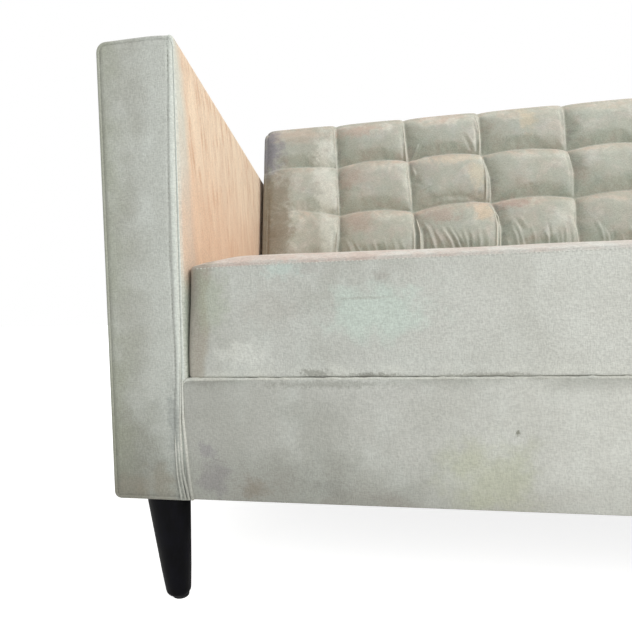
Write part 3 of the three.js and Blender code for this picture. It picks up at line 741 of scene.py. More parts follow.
def makeArm():
    low = armLow - Vector((arm["outerSwell"], 0, arm["lowerLap"]))
    high = armHigh + Vector((0, 0, arm["topSwell"]))
    size = tuple((high - low)[i] for i in (0, 2, 1))
    width, height, depth = size
    bm = makePanel(size, arm["corners"], arm["roll"], arm["seam"], arm["grid"])
    sliceAt(bm, 0, [width - 1.5 * mm * i for i in range(5, 17)])
    built = arm["roll"][0] + arm["seam"][0] + arm["seam"][1] / 2
    reach = arm["seamReach"]
    for vert in bm.verts:
        inward = width - vert.co.x
        tall = low.z + vert.co.y
        v = vert.co.y / height * 2 - 1
        w = vert.co.z / depth * 2 - 1
        if vert.co.z > depth - arm["roll"][1] - 0.1 * mm:
            seam = along(arm["seamRun"], tall)
            square = smoothStep(high.z - 2 * mm, high.z - 16 * mm, tall)
            seam = built + (seam - built) * square
            if inward < built:
                inward *= seam / built
            elif inward < reach:
                inward = seam + (inward - built) * (reach - seam) / (reach - built)
            vert.co.x = width - inward
            if vert.co.z > depth - 1.6 * mm:
                vert.co.z += armFrontRise(inward, tall, width)
        nearTop = smoothStep(0.93, 0.99, vert.co.y / height)
        vert.co.y -= arm["innerDrop"] * smoothStep(arm["dropReach"], 0, inward) * nearTop
        if vert.co.x > width - 0.1 * mm:
            swell = (1 - v**6) * (1 - w**90) * arm["innerSwell"]
            vert.co.x += swell * (1 + cloudShift(vert.co, 90 * mm, 0.1))
    rear = [e for e in bm.edges if max(abs(v.co.z) for v in e.verts) < 0.01 * mm]
    rear = [e for e in rear if e.calc_face_angle(0) > 1]
    bevelThese(bm, rear, arm["rearEdge"], 3)
    bm.transform(Matrix.Translation((low.x, high.y, low.z)) @ towardFront)
    turnOut(bm)
    nodes = ("arm_cover", "arm_front_panel", "arm_front_foam")
    finishPiece("armUpholstery", bm, armVelvet, replaced=nodes)
    bm = bmesh.new()
    points = []
    for step in range(48):
        tall = armLow.z + 6 * mm + (armHigh.z - armLow.z - 14 * mm) * step / 47
        inward = along(arm["stitchRun"], tall)
        out = armFrontRise(inward, tall, width) + 0.1 * mm
        points.append(Vector((high.x - inward, couchFront - out, tall)))
    sewLine(bm, points)
    finishPiece("armStitches", bm, sewingThread)


# A fold or welt as a tapered round cord of cloth along points
def foldAlong(bm, points, radii):
    curve = bpy.data.curves.new("foldLine", "CURVE")
    curve.dimensions = "3D"
    curve.bevel_depth = 1.0
    curve.bevel_resolution = 2
    curve.use_fill_caps = True
    spline = curve.splines.new("POLY")
    spline.points.add(len(points) - 1)
    for spot, point, radius in zip(spline.points, points, radii):
        spot.co = (*point, 1)
        spot.radius = radius
    holder = bpy.data.objects.new("foldLine", curve)
    mesh = bpy.data.meshes.new_from_object(holder)
    bm.from_mesh(mesh)
    bpy.data.objects.remove(holder)
    bpy.data.curves.remove(curve)
    bpy.data.meshes.remove(mesh)


# The arm's cover gathers in narrow folds where it is pulled round the end of the front rail:
# distance in from the arm's inner face, height from the floor, and the fold's radius
cornerFolds = (
    ((4.6, 318, 0.9), (4.6, 306, 1.4), (5.3, 270, 1.8), (2.9, 234, 2.0), (1.0, 205, 2.1),
     (-1.7, 176, 2.2), (-4.2, 161, 2.2)),
    ((6.6, 340, 0.4), (7.2, 298, 1.1), (9.3, 263, 1.5), (9.2, 227, 1.6), (8.0, 198, 1.6),
     (3.6, 176, 1.7), (0.3, 161, 1.7)),
    ((11.4, 290, 0.3), (12.4, 258, 0.9), (12.6, 227, 1.2), (11.6, 198, 1.3), (7.6, 173, 1.4),
     (5.2, 161, 1.4)),
    ((16.4, 250, 0.3), (16.6, 227, 1.0), (15.8, 198, 1.3), (12.4, 171, 1.4), (11.0, 161, 1.4)),
)


def makeCornerFolds():
    bm = bmesh.new()
    for fold in cornerFolds:
        points, radii = [], []
        for (d1, z1, r1), (d2, z2, r2) in zip(fold, fold[1:]):
            for i in range(6):
                t = i / 6
                points.append((d1 + (d2 - d1) * t, z1 + (z2 - z1) * t))
                radii.append((r1 + (r2 - r1) * t) * mm)
        points.append(fold[-1][:2])
        radii.append(fold[-1][2] * mm)
        for i in range(3):
            points = points[:1] + [
                tuple((a + 2 * b + c) / 4 for a, b, c in zip(*three))
                for three in zip(points, points[1:], points[2:])
            ] + points[-1:]
        places = [(armHigh.x - inward * mm, couchFront - 1.3 * mm, tall * mm) for inward, tall in points]
        foldAlong(bm, places, radii)
    turnOut(bm)
    # The folds take the pale copy of the velvet, a painted highlight
    finishPiece("armCornerFolds", bm, litEdgeVelvet)


makeArm()
makeCornerFolds()
print("arm made")


# Upholstered bands: the front rail, the foot end, the rear rail and the outside back
bands = {
    "corners": (3 * mm, 3 * mm, 4 * mm, 7 * mm),
    "roll": (2.5 * mm, 2.0 * mm),
    "seam": (1.6 * mm, 1.4 * mm, 0.5 * mm),
    "proud": 1.2 * mm,
    "crown": 1.2 * mm,
    "crownDepth": 1.2 * mm,  # what lies this near the face is crowned
    "ripple": 0.3 * mm,
    "grid": (14 * mm, 13 * mm, 0),
    "backCorner": 14 * mm,  # the outside back's corner above the arm
    "weltCorner": 9 * mm,  # the welt's turn at the back's other end
    "armLap": 4.6 * mm,  # how far the front band reaches over the arm's inner edge
    "lowerLap": 0.4 * mm,
    "weltRadius": 1.8 * mm,
    "fray": 0.45,  # how much the rail's welt varies, as a share of its radius
    "backWeltRadius": 2.3 * mm,
}


def makeBand(name, node, turn, seamed=True, corners=bands["corners"]):
    low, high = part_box(node)
    if turn == towardFront:
        low.x -= bands["armLap"]
    low.z -= bands["lowerLap"]
    reach = high - low
    width = reach.y if turn == towardFoot else reach.x
    thickness = (reach.x if turn == towardFoot else reach.y) + bands["proud"]
    size = (width, reach.z, thickness)
    seam = bands["seam"] if seamed else None
    bm = makePanel(size, corners, bands["roll"], seam, bands["grid"])
    for vert in bm.verts:
        if vert.co.z > thickness - bands["crownDepth"]:
            u = min(1.0, abs(vert.co.x / width * 2 - 1))
            v = min(1.0, abs(vert.co.y / reach.z * 2 - 1))
            full = bulge(u, v)
            vert.co.z += bands["crown"] * full + full * cloudShift(vert.co, 60 * mm, bands["ripple"])
    if turn == towardFront:
        corner = (low.x, high.y, low.z)
    elif turn == towardRear:
        corner = (high.x, low.y, low.z)
    else:
        corner = (low.x, low.y, low.z)
    bm.transform(Matrix.Translation(corner) @ turn)
    turnOut(bm)
    finishPiece(name, bm, velvet, replaced=(node,))


# The welt that closes the platform's cloth to the bands, a little uneven as it is sewn
def makeRailWelt():
    bm = bmesh.new()
    radius = bands["weltRadius"]
    top = railHigh.z - 0.4 * mm
    end = cushionHigh.x - 4 * mm
    front = couchFront + 0.4 * mm
    path = []
    for aside, down in ((3.9, 9), (3.1, 4.5), (0.6, 1.4)):
        path.append((railLow.x - aside * mm, front, top - down * mm))
    radii = [radius * share for share in (0.6, 0.9, 1.2)]
    step = 5 * mm
    x = railLow.x + 5 * mm
    while x < end:
        lift = cloudShift(Vector((x, 0, 0)), 17 * mm, 1.3 * mm)
        path.append((x, front - lift, top + lift * 0.7))
        fray = cloudShift(Vector((x, 0, 0)), 7 * mm, bands["fray"])
        radii.append(radius * (1 + (fray + bands["fray"] * smoothStep(0.1, 0.0, x - railLow.x))))
        x += step
    path.append((end + 2 * mm, couchFront + 3 * mm, top))
    y = couchFront + 8 * mm
    while y < cushionHigh.y - 10 * mm:
        lift = cloudShift(Vector((end, y, 0)), 25 * mm, 0.4 * mm)
        path.append((cushionHigh.x - 0.2 * mm + lift, y, top + lift * 0.6))
        y += step
    radii += [radius] * (len(path) - len(radii))
    foldAlong(bm, path, radii)
    # The welt takes the pale copy of the velvet, a painted highlight
    finishPiece("railWelt", bm, litEdgeVelvet)


# The welt that closes the back's cover to the outside back
def makeBackWelt():
    low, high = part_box("outside_back_cover")
    radius = bands["backWeltRadius"]
    left, right, top = low.x + 1.5 * mm, high.x - 0.8 * mm, high.z - 1 * mm
    near, far = bands["backCorner"], bands["weltCorner"]
    cut = 1 - math.sqrt(0.5)
    path = [(left, armHigh.z + 4 * mm), (left, top - near), (left + near * cut, top - near * cut)]
    path += [(left + near, top), (right - far, top), (right - far * cut, top - far * cut)]
    path += [(right, top - far), (right, railHigh.z + 4 * mm)]
    points = []
    for (x1, z1), (x2, z2) in zip(path, path[1:]):
        count = max(1, round(math.dist((x1, z1), (x2, z2)) / (12 * mm)))
        for i in range(count):
            x, z = x1 + (x2 - x1) * i / count, z1 + (z2 - z1) * i / count
            points.append((x, low.y - 0.6 * mm, z))
    points.append((right, low.y - 0.6 * mm, railHigh.z + 4 * mm))
    bm = bmesh.new()
    foldAlong(bm, points, [radius] * len(points))
    turnOut(bm)
    finishPiece("backWelt", bm, velvet)


makeBand("frontBand", "front_rail_cover", towardFront, False)
makeBand("footEndBand", "end_rail_cover", towardFoot)
makeBand("rearBand", "rear_rail_cover", towardRear)
backCorners = (*bands["corners"][:2], bands["backCorner"], bands["corners"][3])
makeBand("outsideBack", "outside_back_cover", towardRear, corners=backCorners)
makeRailWelt()
makeBackWelt()
print("bands made")


# The loose seat cushion, an L that fills the open foot behind the back's end
cushion = {
    "cornerRadius": 6 * mm,
    "seamRise": 144.6 * mm,  # the top seam above the cushion's bottom
    "grid": 12 * mm,
    "crown": 14.5 * mm,
    "crownReach": 22 * mm,
    "frontSwell": 2 * mm,
    "cornerReach": 23 * mm,  # the front corner by the arm is rounder towards its top
    "cornerEase": 18 * mm,
    "cornerFall": (2.4 * mm, 26 * mm),  # the seam's fall at the arm, and the length that it takes
    "armTaper": 0.6 * mm,
    "footLift": 1.1 * mm,
    "topCloud": (0.13, 3 * mm),
    "topRipple": 1.8 * mm,
    # the zip's pocket in mm: low, high, start, end and depth
    "recess": (383.15, 403.15, 215.3, 1157.3, 18.5),
    "edgeRoll": 4 * mm,
    "simulation": {"growth": -0.004, "pressure": 0.8, "frames": 8, "cap": 3 * mm},
}
cushionRearY = backLow.y - 4 * mm
footInnerX = backHigh.x + 4 * mm
seamHeight = cushionLow.z + cushion["seamRise"]


def borderDistance(x, y):
    inside = min(x - cushionLow.x, cushionHigh.x - x, y - cushionLow.y, cushionHigh.y - y)
    if x < footInnerX:
        return min(inside, cushionRearY - y)
    if y > cushionRearY:
        return min(inside, x - footInnerX)
    return min(inside, math.hypot(x - footInnerX, cushionRearY - y))


def seamFall(x):
    fall, reach = cushion["cornerFall"]
    return fall * math.exp(-(x - cushionLow.x) / reach)


# The cushion's L shape as a block, drawn in all round by the inset
def makeFootprint(low, high, inset, radius, top, bottom):
    innerX, innerY = footInnerX + inset, cushionRearY - inset
    left, right, front, rear = low.x + inset, high.x - inset, low.y + inset, high.y - inset
    outline = [(left, front), (right, front), (right, rear), (innerX, rear), (innerX, innerY)]
    bm = bmesh.new()
    bm.faces.new([bm.verts.new((x, y, bottom)) for x, y in outline + [(left, innerY)]])
    bevelThese(bm, bm.verts[:], radius, 5, "VERTICES")
    raised = extrudeRegion(bm, bm.faces[:])[1]
    bmesh.ops.translate(bm, verts=raised, vec=(0, 0, top - bottom))
    turnOut(bm)
    return bm


def sinkZipPocket(bm):
    low, high, left, right, deep = [size * mm for size in cushion["recess"]]
    sliceAt(bm, 2, [low, high])
    sliceAt(bm, 0, [armLow.x + left, armLow.x + right])
    pocket = []
    for face in bm.faces:
        middle = face.calc_center_median()
        inside = low < middle.z < high and armLow.x + left < middle.x < armLow.x + right
        if inside and abs(face.normal.y) > 0.9 and abs(middle.y - cushionRearY) < 1 * mm:
            pocket.append(face)
    sunk = extrudeRegion(bm, pocket)[1]
    bmesh.ops.translate(bm, verts=sunk, vec=(0, -deep, 0))


def makeCushion():
    radius = cushion["cornerRadius"]
    bm = makeFootprint(cushionLow, cushionHigh, 0, radius, seamHeight, cushionLow.z)
    bottom = [e for e in bm.edges if all(v.co.z < cushionLow.z + 1 * mm for v in e.verts)]
    bevelThese(bm, bottom, cushion["edgeRoll"], 3)
    top = [f for f in bm.faces if f.normal.z > 0.9]
    for thickness, rise in ((0.9 * mm, -0.9 * mm), (0.9 * mm, 1.0 * mm), (1.2 * mm, 1.4 * mm)):
        look = {"thickness": thickness, "depth": rise, "use_even_offset": True}
        bmesh.ops.inset_region(bm, faces=top, use_boundary=True, **look)
    spans = [(cushionLow[i], cushionHigh[i]) for i in range(3)]
    sliceEvenly(bm, spans, (cushion["grid"], cushion["grid"], 0))
    shares = (0.1, 0.2, 0.3, 0.4, 0.6, 0.7, 0.8, 0.9, 0.965)
    sliceAt(bm, 2, [cushionLow.z + cushion["seamRise"] * share for share in shares])
    sliceAt(bm, 1, [cushionLow.y + (6 + 4 * i) * mm for i in range(20)])
    sliceAt(bm, 0, [cushionLow.x + 3 * mm * i for i in range(3, 9)])
    sinkZipPocket(bm)
    held = []
    bm.verts.index_update()
    for vert in bm.verts:
        x, y, z = vert.co
        aside, behind = x - cushionLow.x, y - cushionLow.y
        boxing = z < seamHeight + 1.6 * mm
        nearArmOrBack = aside < 9 * mm or y > cushionRearY - 40 * mm
        if boxing and (z > seamHeight - 1.6 * mm or z < cushionLow.z + 5 * mm or nearArmOrBack):
            held.append(vert.index)
        if z > seamHeight + 1.2 * mm:
            distance = max(0.0, borderDistance(x, y) - 2 * mm)
            rise = 1 - math.exp(-distance / cushion["crownReach"])
            fullness = 0.78 + 0.22 * (1 - smoothStep(0.1, 0.33, aside))
            fullness *= 0.45 + 0.55 * smoothStep(0, 0.07, aside)
            vert.co.z += cushion["crown"] * fullness * rise
            vert.co.z += rise * cloudShift(vert.co, *cushion["topCloud"])
            ripple = noise.noise(Vector((x / 0.14, y / 0.010, 2.0)))
            vert.co.z += rise * cushion["topRipple"] * ripple * smoothStep(0.16, 0.03, behind)
        share = (z - cushionLow.z) / cushion["seamRise"]
        if behind < 20 * mm and 0 < share < 1:
            vert.co.y -= cushion["frontSwell"] * math.sin(math.pi * share)
        if share > 0.9:
            vert.co.z -= seamFall(x)
        if share < 0.15 and behind < 24 * mm:
            foot = 0.5 + cloudShift(vert.co, 55 * mm, 1.0)
            vert.co.z += cushion["footLift"] * max(0.0, foot) * smoothStep(0.15, 0, share)
        near = smoothStep(0.09, 0, aside) * smoothStep(0.2, 0.02, behind)
        vert.co.x += cushion["armTaper"] * near * smoothStep(0.1, 0.9, share)
        turned = 1 - evenStep(0, cushion["cornerReach"], aside)
        turned *= turned * smoothStep(70 * mm, 5 * mm, behind)
        vert.co.y += cushion["cornerEase"] * turned * smoothStep(0.05, 0.95, share)
    turnOut(bm)
    nodes = ("seat_cushion_cover", "seat_foam_core")
    piece = finishPiece("seatCushion", bm, seatVelvet, "seat_cushion", replaced=nodes)
    puffCover(piece, held, cushion["simulation"])
    bm = bmesh.new()
    points = []
    for i in range(41):
        x = cushionLow.x + 14 * mm + (cushionHigh.x - cushionLow.x - 28 * mm) * i / 40
        points.append(Vector((x, cushionLow.y - 0.35 * mm, seamHeight - 3.2 * mm - seamFall(x))))
    sewLine(bm, points)
    # The cushion's stitches take the pale thread, a painted highlight
    finishPiece("cushionStitches", bm, paleThread, "seat_cushion")


# The zip in the cushion's rear boxing: two tapes and a coil on each, drawn coarser than the
# real 1.6 mm pitch so that it shows
zipper = {"tape": 8 * mm, "gap": 0.2 * mm, "pitch": 3.2 * mm, "coil": 0.8 * mm, "margin": 4 * mm}


def makeZip():
    low, high, left, right, deep = [size * mm for size in cushion["recess"]]
    middle = (low + high) / 2
    floor = cushionRearY - deep
    start, end = armLow.x + left + zipper["margin"], armLow.x + right - zipper["margin"]
    bm = bmesh.new()
    for side in (-1, 1):
        reach = (zipper["gap"], zipper["gap"] + zipper["tape"])
        near, far = sorted(middle + side * away for away in reach)
        made = bmesh.ops.create_cube(bm, size=1)
        for vert in made["verts"]:
            vert.co.x = end if vert.co.x > 0 else start
            vert.co.y = floor + (0.45 * mm if vert.co.y > 0 else -0.4 * mm)
            vert.co.z = far if vert.co.z > 0 else near
    edges = [e for e in bm.edges if abs(e.verts[0].co.x - e.verts[1].co.x) > 1 * mm]
    bevelThese(bm, edges, 0.25 * mm, 2)
    finishPiece("zipTapes", bm, zipTapeWeave, "seat_cushion")
    bm = bmesh.new()
    size = Matrix.Diagonal((zipper["coil"], 0.35 * mm, 1.5 * mm, 1))
    count = int((end - start) / zipper["pitch"])
    for i in range(count):
        lean = Matrix.Rotation(math.radians(24 if i % 2 else -24), 4, "Y")
        place = Matrix.Translation((start + (i + 0.5) * zipper["pitch"], floor + 0.2 * mm, middle))
        bmesh.ops.create_icosphere(bm, subdivisions=1, radius=1, matrix=place @ lean @ size)
    finishPiece("zipCoil", bm, nylon, "seat_cushion")


makeCushion()
makeZip()
print("cushion made")


# The platform's cloth, drawn over the felt and the springs, so it lies in low ridges
platform = {"inset": 2.6 * mm, "radius": 6 * mm, "grid": 16 * mm, "sag": 0.7 * mm, "springs": 0.19}


def makePlatform():
    low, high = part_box("deck_cover")
    inset, radius = platform["inset"], platform["radius"]
    bm = makeFootprint(cushionLow, cushionHigh, inset, radius, high.z, low.z)
    spans = [(low[i], high[i]) for i in range(3)]
    sliceEvenly(bm, spans, (platform["grid"], platform["grid"], 0))
    for vert in bm.verts:
        if vert.co.z > high.z - 0.1 * mm:
            ridge = math.cos(vert.co.x * 2 * math.pi / platform["springs"]) * 0.5 - 0.5
            inside = evenStep(0, 40 * mm, borderDistance(vert.co.x, vert.co.y))
            vert.co.z += platform["sag"] * ridge * inside
    turnOut(bm)
    piece = finishPiece("platformCloth", bm, platformVelvet, replaced=("deck_cover",))


# The dust cover, stapled under the frame a finger's width in from the edges
dust = {"inset": 13 * mm, "grid": (60, 28), "sag": 2.5 * mm, "staplePitch": 42 * mm}


def makeDustCover():
    low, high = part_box("dust_cover")
    reach = high - low
    middle = (low + high) / 2
    bm = bmesh.new()
    bmesh.ops.create_grid(bm, x_segments=dust["grid"][0], y_segments=dust["grid"][1], size=0.5)
    width, depth = reach.x - 2 * dust["inset"], reach.y - 2 * dust["inset"]
    for vert in bm.verts:
        u, v = vert.co.x * 2, vert.co.y * 2
        vert.co = Vector((middle.x + u * width / 2, middle.y + v * depth / 2, high.z - 0.2 * mm))
        slack = (1 - u**4) * (1 - v**4)
        vert.co.z -= dust["sag"] * slack * (0.7 + cloudShift(vert.co, 0.2, 0.6))
        edge = min(1 - abs(u), 1 - abs(v))
        pull = math.sin((vert.co.x + vert.co.y) / dust["staplePitch"] * 2 * math.pi)
        vert.co.z -= 0.5 * mm * (1 + pull) * math.exp(-edge / 0.03) * (edge > 0.001)
    sheet = finishPiece("dustCover", bm, dustCloth, replaced=("dust_cover",))
    thick = sheet.modifiers.new("clothThickness", "SOLIDIFY")
    thick.thickness = 0.6 * mm
    thick.offset = -1
    bm = bmesh.new()
    places = []
    for side in (-1, 1):
        count = int(width / dust["staplePitch"])
        y = middle.y + side * (depth / 2 - 4 * mm)
        places += [(middle.x - width / 2 + width * (i + 0.5) / count, y, 0) for i in range(count)]
        count = int(depth / dust["staplePitch"])
        x = middle.x + side * (width / 2 - 4 * mm)
        places += [(x, middle.y - depth / 2 + depth * (i + 0.5) / count, 1) for i in range(count)]
    for x, y, turned in places:
        made = bmesh.ops.create_cube(bm, size=1)
        turn = Matrix.Rotation(math.pi / 2 * turned, 4, "Z")
        size = Matrix.Diagonal((10 * mm, 1.2 * mm, 0.7 * mm, 1))
        place = Matrix.Translation((x, y, high.z - 0.95 * mm))
        bmesh.ops.transform(bm, matrix=place @ turn @ size, verts=made["verts"])
    bevelThese(bm, bm.edges[:], 0.2 * mm, 1)
    finishPiece("dustCoverStaples", bm, zincSteel)


makePlatform()
makeDustCover()
print("platform and dust cover made")


# The tufted back: a grid of sewn tufts on a face that leans back above a knee. Each tuft rolls
# down steeply at its right and its top, and gently at its left and its foot
back = {
    "recline": math.radians(17.3),
    "kneeHeight": 480 * mm,
    "kneeSoftness": 28 * mm,
    "columns": 6,
    "rowSeams": (36 * mm, 167 * mm, 298 * mm),  # up the face from the knee
    "top": 408 * mm,
    "segment": 5 * mm,
    "crown": 7 * mm,
    "buttonDepth": 19 * mm,
    "columnSeamDepth": 11 * mm,
    "rowSeamDepth": 10 * mm,
    "topSeamDepth": 6 * mm,
    "edgeDepth": 3 * mm,
    "creaseSpread": 14 * mm,
    "steep": 2.0,
    "gentle": 0.72,
    "rowBow": 6 * mm,
    "edgeRadius": 9 * mm,
    "cornerRadius": 24 * mm,
    "easeReach": 36 * mm,
    "topRise": 3.5 * mm,  # the top lies on the rail behind the roll
    "squared": 0.9,  # how square the top corners are there, over the rail's ends
    "depthShares": (0.35, 0.7, 1.0),
    "heldNear": 4 * mm,  # what lies this near a seam is held while the cover is blown up
    "tuckRise": 2.9,  # folds this high and this long get an edge of painted highlight
    "tuckLength": 85 * mm,
    "tuckRadius": 1.5 * mm,
    # each column seam's drift in mm, sideways and up, at these heights up the face
    "driftHeights": (-173, 36, 100, 167, 232, 298, 408),
    "drift": (
        ((0, 0), (0, 0), (0, 0), (0, 0), (0, -4), (0, -9), (0, 0)),
        ((0, 0), (3, 0), (9, -2), (12, -5), (10, -3), (9, -2), (8, 0)),
        ((0, 0), (6, 0), (8, -4), (5, -8), (3, -3), (3, 1), (-3, 0)),
        ((0, 0), (10, 0), (14, 2), (4, 4), (3, 3), (-6, 2), (-5, 0)),
        ((0, 0), (-3, 0), (-7, 2), (2, 3), (5, 0), (3, -4), (7, 0)),
        ((0, 0), (4, 0), (8, -2), (5, 4), (-2, 2), (-5, -3), (-3, 0)),
        ((0, 0), (0, 0), (0, 0), (0, 0), (0, 0), (0, 0), (0, 0)),
    ),
    "simulation": {"growth": -0.006, "pressure": 1.2, "frames": 9, "cap": 2.4 * mm},
}
backUp = Vector((0, math.sin(back["recline"]), math.cos(back["recline"])))
backOut = Vector((0, -math.cos(back["recline"]), math.sin(back["recline"])))
backBottom = backLow.z - back["kneeHeight"]
backRowEdges = (backBottom, *back["rowSeams"], back["top"])
tuftWidth = (backHigh.x - backLow.x) / back["columns"]
topRow = len(backRowEdges) - 2


def facePoint(x, s, h):
    lean = back["recline"]
    soft = back["kneeSoftness"]
    radius = 2 * soft / lean
    angle = lean * evenStep(-soft, soft, s)
    beyond = max(0.0, s - soft)
    y = radius * (1 - math.cos(angle)) + beyond * math.sin(lean)
    z = min(s, -soft) + radius * math.sin(angle) + beyond * math.cos(lean)
    normal = Vector((0, -math.cos(angle), math.sin(angle)))
    return Vector((x, backLow.y + y, back["kneeHeight"] + z)) + normal * h


def tuftPlace(x, s):
    column = min(back["columns"] - 1, max(0, int((x - backLow.x) / tuftWidth + 1e-6)))
    u = (x - backLow.x) / tuftWidth - column
    row = 0
    while row < topRow and s > backRowEdges[row + 1] - 1e-6:
        row += 1
    v = (s - backRowEdges[row]) / (backRowEdges[row + 1] - backRowEdges[row])
    return column, min(1.0, max(0.0, u)), row, min(1.0, max(0.0, v))


def creaseFall(distance):
    return math.exp(-((max(0.0, distance) / back["creaseSpread"]) ** 0.8))


def hump(share):
    return math.sin(math.pi * min(1.0, max(0.0, share))) ** 0.6


def columnSeam(seam, row, v):
    if seam in (0, back["columns"]):
        return back["crown"] + back["edgeDepth"]
    middle = back["columnSeamDepth"]
    if row == topRow:
        middle += (back["topSeamDepth"] - middle) * smoothStep(0.35, 1, v)
        v /= 2
    if row == 0:
        return (back["crown"] + middle) * (0.35 + 0.65 * smoothStep(0, 0.8, v))
    return back["crown"] + middle + (back["buttonDepth"] - middle) * (1 - hump(v))


def rowSeam(seam, column, u):
    if seam in (0, topRow + 1):
        return back["crown"] + back["edgeDepth"]
    near = 1.0
    if column == 0:
        near = 0.35 + 0.65 * smoothStep(0, 0.9, u) if seam == topRow else smoothStep(0.3, 1, u)
        u = 0.5 + u / 2
    if column == back["columns"] - 1:
        near = 1 - 0.7 * smoothStep(0.1, 1, u)
        u /= 2
    middle = back["rowSeamDepth"]
    return near * (back["crown"] + middle + (back["buttonDepth"] - middle) * (1 - hump(u)))


def faceHeight(x, s):
    column, u, row, v = tuftPlace(x, s)
    height = backRowEdges[row + 1] - backRowEdges[row]
    steep, gentle = back["steep"], back["gentle"]
    leftSide = gentle if column else 1.4
    upperSide = steep if row < topRow else 1.4
    deepest = back["crown"] + back["buttonDepth"]
    kept = 1.0
    for depth, distance in (
        (columnSeam(column, row, v), u * tuftWidth * leftSide),
        (columnSeam(column + 1, row, v), (1 - u) * tuftWidth * steep),
        (rowSeam(row, column, u), v * height * gentle),
        (rowSeam(row + 1, column, u), (1 - v) * height * upperSide),
    ):
        kept *= 1 - depth * creaseFall(distance) / deepest
    return back["crown"] - deepest * (1 - kept)


def seamDrift(x, s):
    column, u, row, v = tuftPlace(x, s)
    heights = back["driftHeights"]
    level = 0
    while level < len(heights) - 2 and s > heights[level + 1] * mm:
        level += 1
    share = evenStep(heights[level] * mm, heights[level + 1] * mm, s)
    drift = [0.0, 0.0]
    for seam, part in ((column, 1 - u), (column + 1, u)):
        here = back["drift"][seam]
        for axis in range(2):
            low, high = here[level][axis], here[level + 1][axis]
            drift[axis] += part * (low + (high - low) * share) * mm
    distance = min(abs(s - seam) for seam in back["rowSeams"])
    if column < back["columns"] - 1:
        drift[1] += back["rowBow"] * max(0.0, 1 - distance / (62 * mm)) * math.sin(math.pi * u)
    return drift


def backGrid():
    rows = [backRowEdges[0]]
    for low, high in zip(backRowEdges, backRowEdges[1:]):
        count = max(1, round((high - low) / back["segment"]))
        rows += [low + (high - low) * i / count for i in range(1, count + 1)]
    columns = back["columns"] * round(tuftWidth / back["segment"])
    bm = bmesh.new()
    bmesh.ops.create_grid(bm, x_segments=columns, y_segments=len(rows) - 1, size=0.5)
    places = {}
    for vert in bm.verts:
        x = backLow.x + (backHigh.x - backLow.x) * (vert.co.x + 0.5)
        places[vert] = (x, rows[round((vert.co.y + 0.5) * (len(rows) - 1))])
    return bm, places


# Draws a place in from the sides and the foot, so that the cover's roll ends where they are
def easeIn(x, s):
    reach, radius = back["easeReach"], back["edgeRadius"]
    kept = 1 - radius / reach
    if x - backLow.x < reach:
        x = backLow.x + radius + (x - backLow.x) * kept
    elif backHigh.x - x < reach:
        x = backHigh.x - radius - (backHigh.x - x) * kept
    if s - backBottom < reach:
        s = backBottom + radius + (s - backBottom) * kept
    return x, s


# Rounds the two top corners, and gives the way that a rounded place faces
def roundCorner(x, s):
    radius = back["cornerRadius"] - back["edgeRadius"]
    turn = (0, 0)
    for side, edge in ((-1, backLow.x + back["edgeRadius"]), (1, backHigh.x - back["edgeRadius"])):
        across = radius - abs(x - edge)
        along = radius - (back["top"] - s)
        if across > 0 and along > 0:
            length = math.hypot(across, along)
            turn = (side * across / length, along / length)
            factor = max(across, along) / length
            x = edge - side * (radius - across * factor)
            s = back["top"] - (radius - along * factor)
    return (x, s, *turn)


# Rolls the cover's rim over and takes it back to the outside back, square over the rail's ends
def rollOver(bm, places):
    near = 0.4 * back["segment"]
    radius = back["edgeRadius"]
    rim = {}
    for vert in bm.verts:
        if vert.is_boundary:
            x, s = places[vert]
            side = Vector((0, 0, 0))
            if x < backLow.x + near:
                side.x = -1
            if x > backHigh.x - near:
                side.x = 1
            if s > back["top"] - near:
                side += backUp
            if s < backBottom + near:
                side.z -= 1
            x, s = easeIn(x, s)
            roundX, roundS, turnX, turnS = roundCorner(x, s)
            outward = side.normalized()
            square = Vector((0, 0, 0))
            if turnX:
                outward = Vector((turnX, 0, 0)) + backUp * turnS
                square = Vector((x - roundX, 0, (s - roundS) * math.cos(back["recline"])))
                square += (side - outward) * radius
                square.y = 0
            rim[vert] = (vert.co.copy(), outward, square * back["squared"])
    turns = [math.pi / 2 * k / 4 for k in range(1, 5)]
    for step, turn in enumerate(turns + [None] * len(back["depthShares"])):
        edges = [edge for edge in bm.edges if edge.is_boundary]
        made = bmesh.ops.extrude_edge_only(bm, edges=edges)["geom"]
        following = {}
        for vert in made:
            if isinstance(vert, bmesh.types.BMVert):
                source = next(o for o in (e.other_vert(vert) for e in vert.link_edges) if o in rim)
                start, side, square = rim[source]
                following[vert] = rim[source]
                if turn is not None:
                    vert.co = start + side * radius * math.sin(turn)
                    vert.co.y += radius * (1 - math.cos(turn))
                else:
                    share = back["depthShares"][step - len(turns)]
                    edgeY = start.y + radius + side.y * radius
                    vert.co = source.co.copy()
                    if step == len(turns):
                        vert.co += square
                        vert.co.z += back["topRise"] * max(0.0, side.z)
                    vert.co.y = edgeY + (backHigh.y - edgeY) * share
        rim = following
    bmesh.ops.holes_fill(bm, edges=[edge for edge in bm.edges if edge.is_boundary], sides=0)


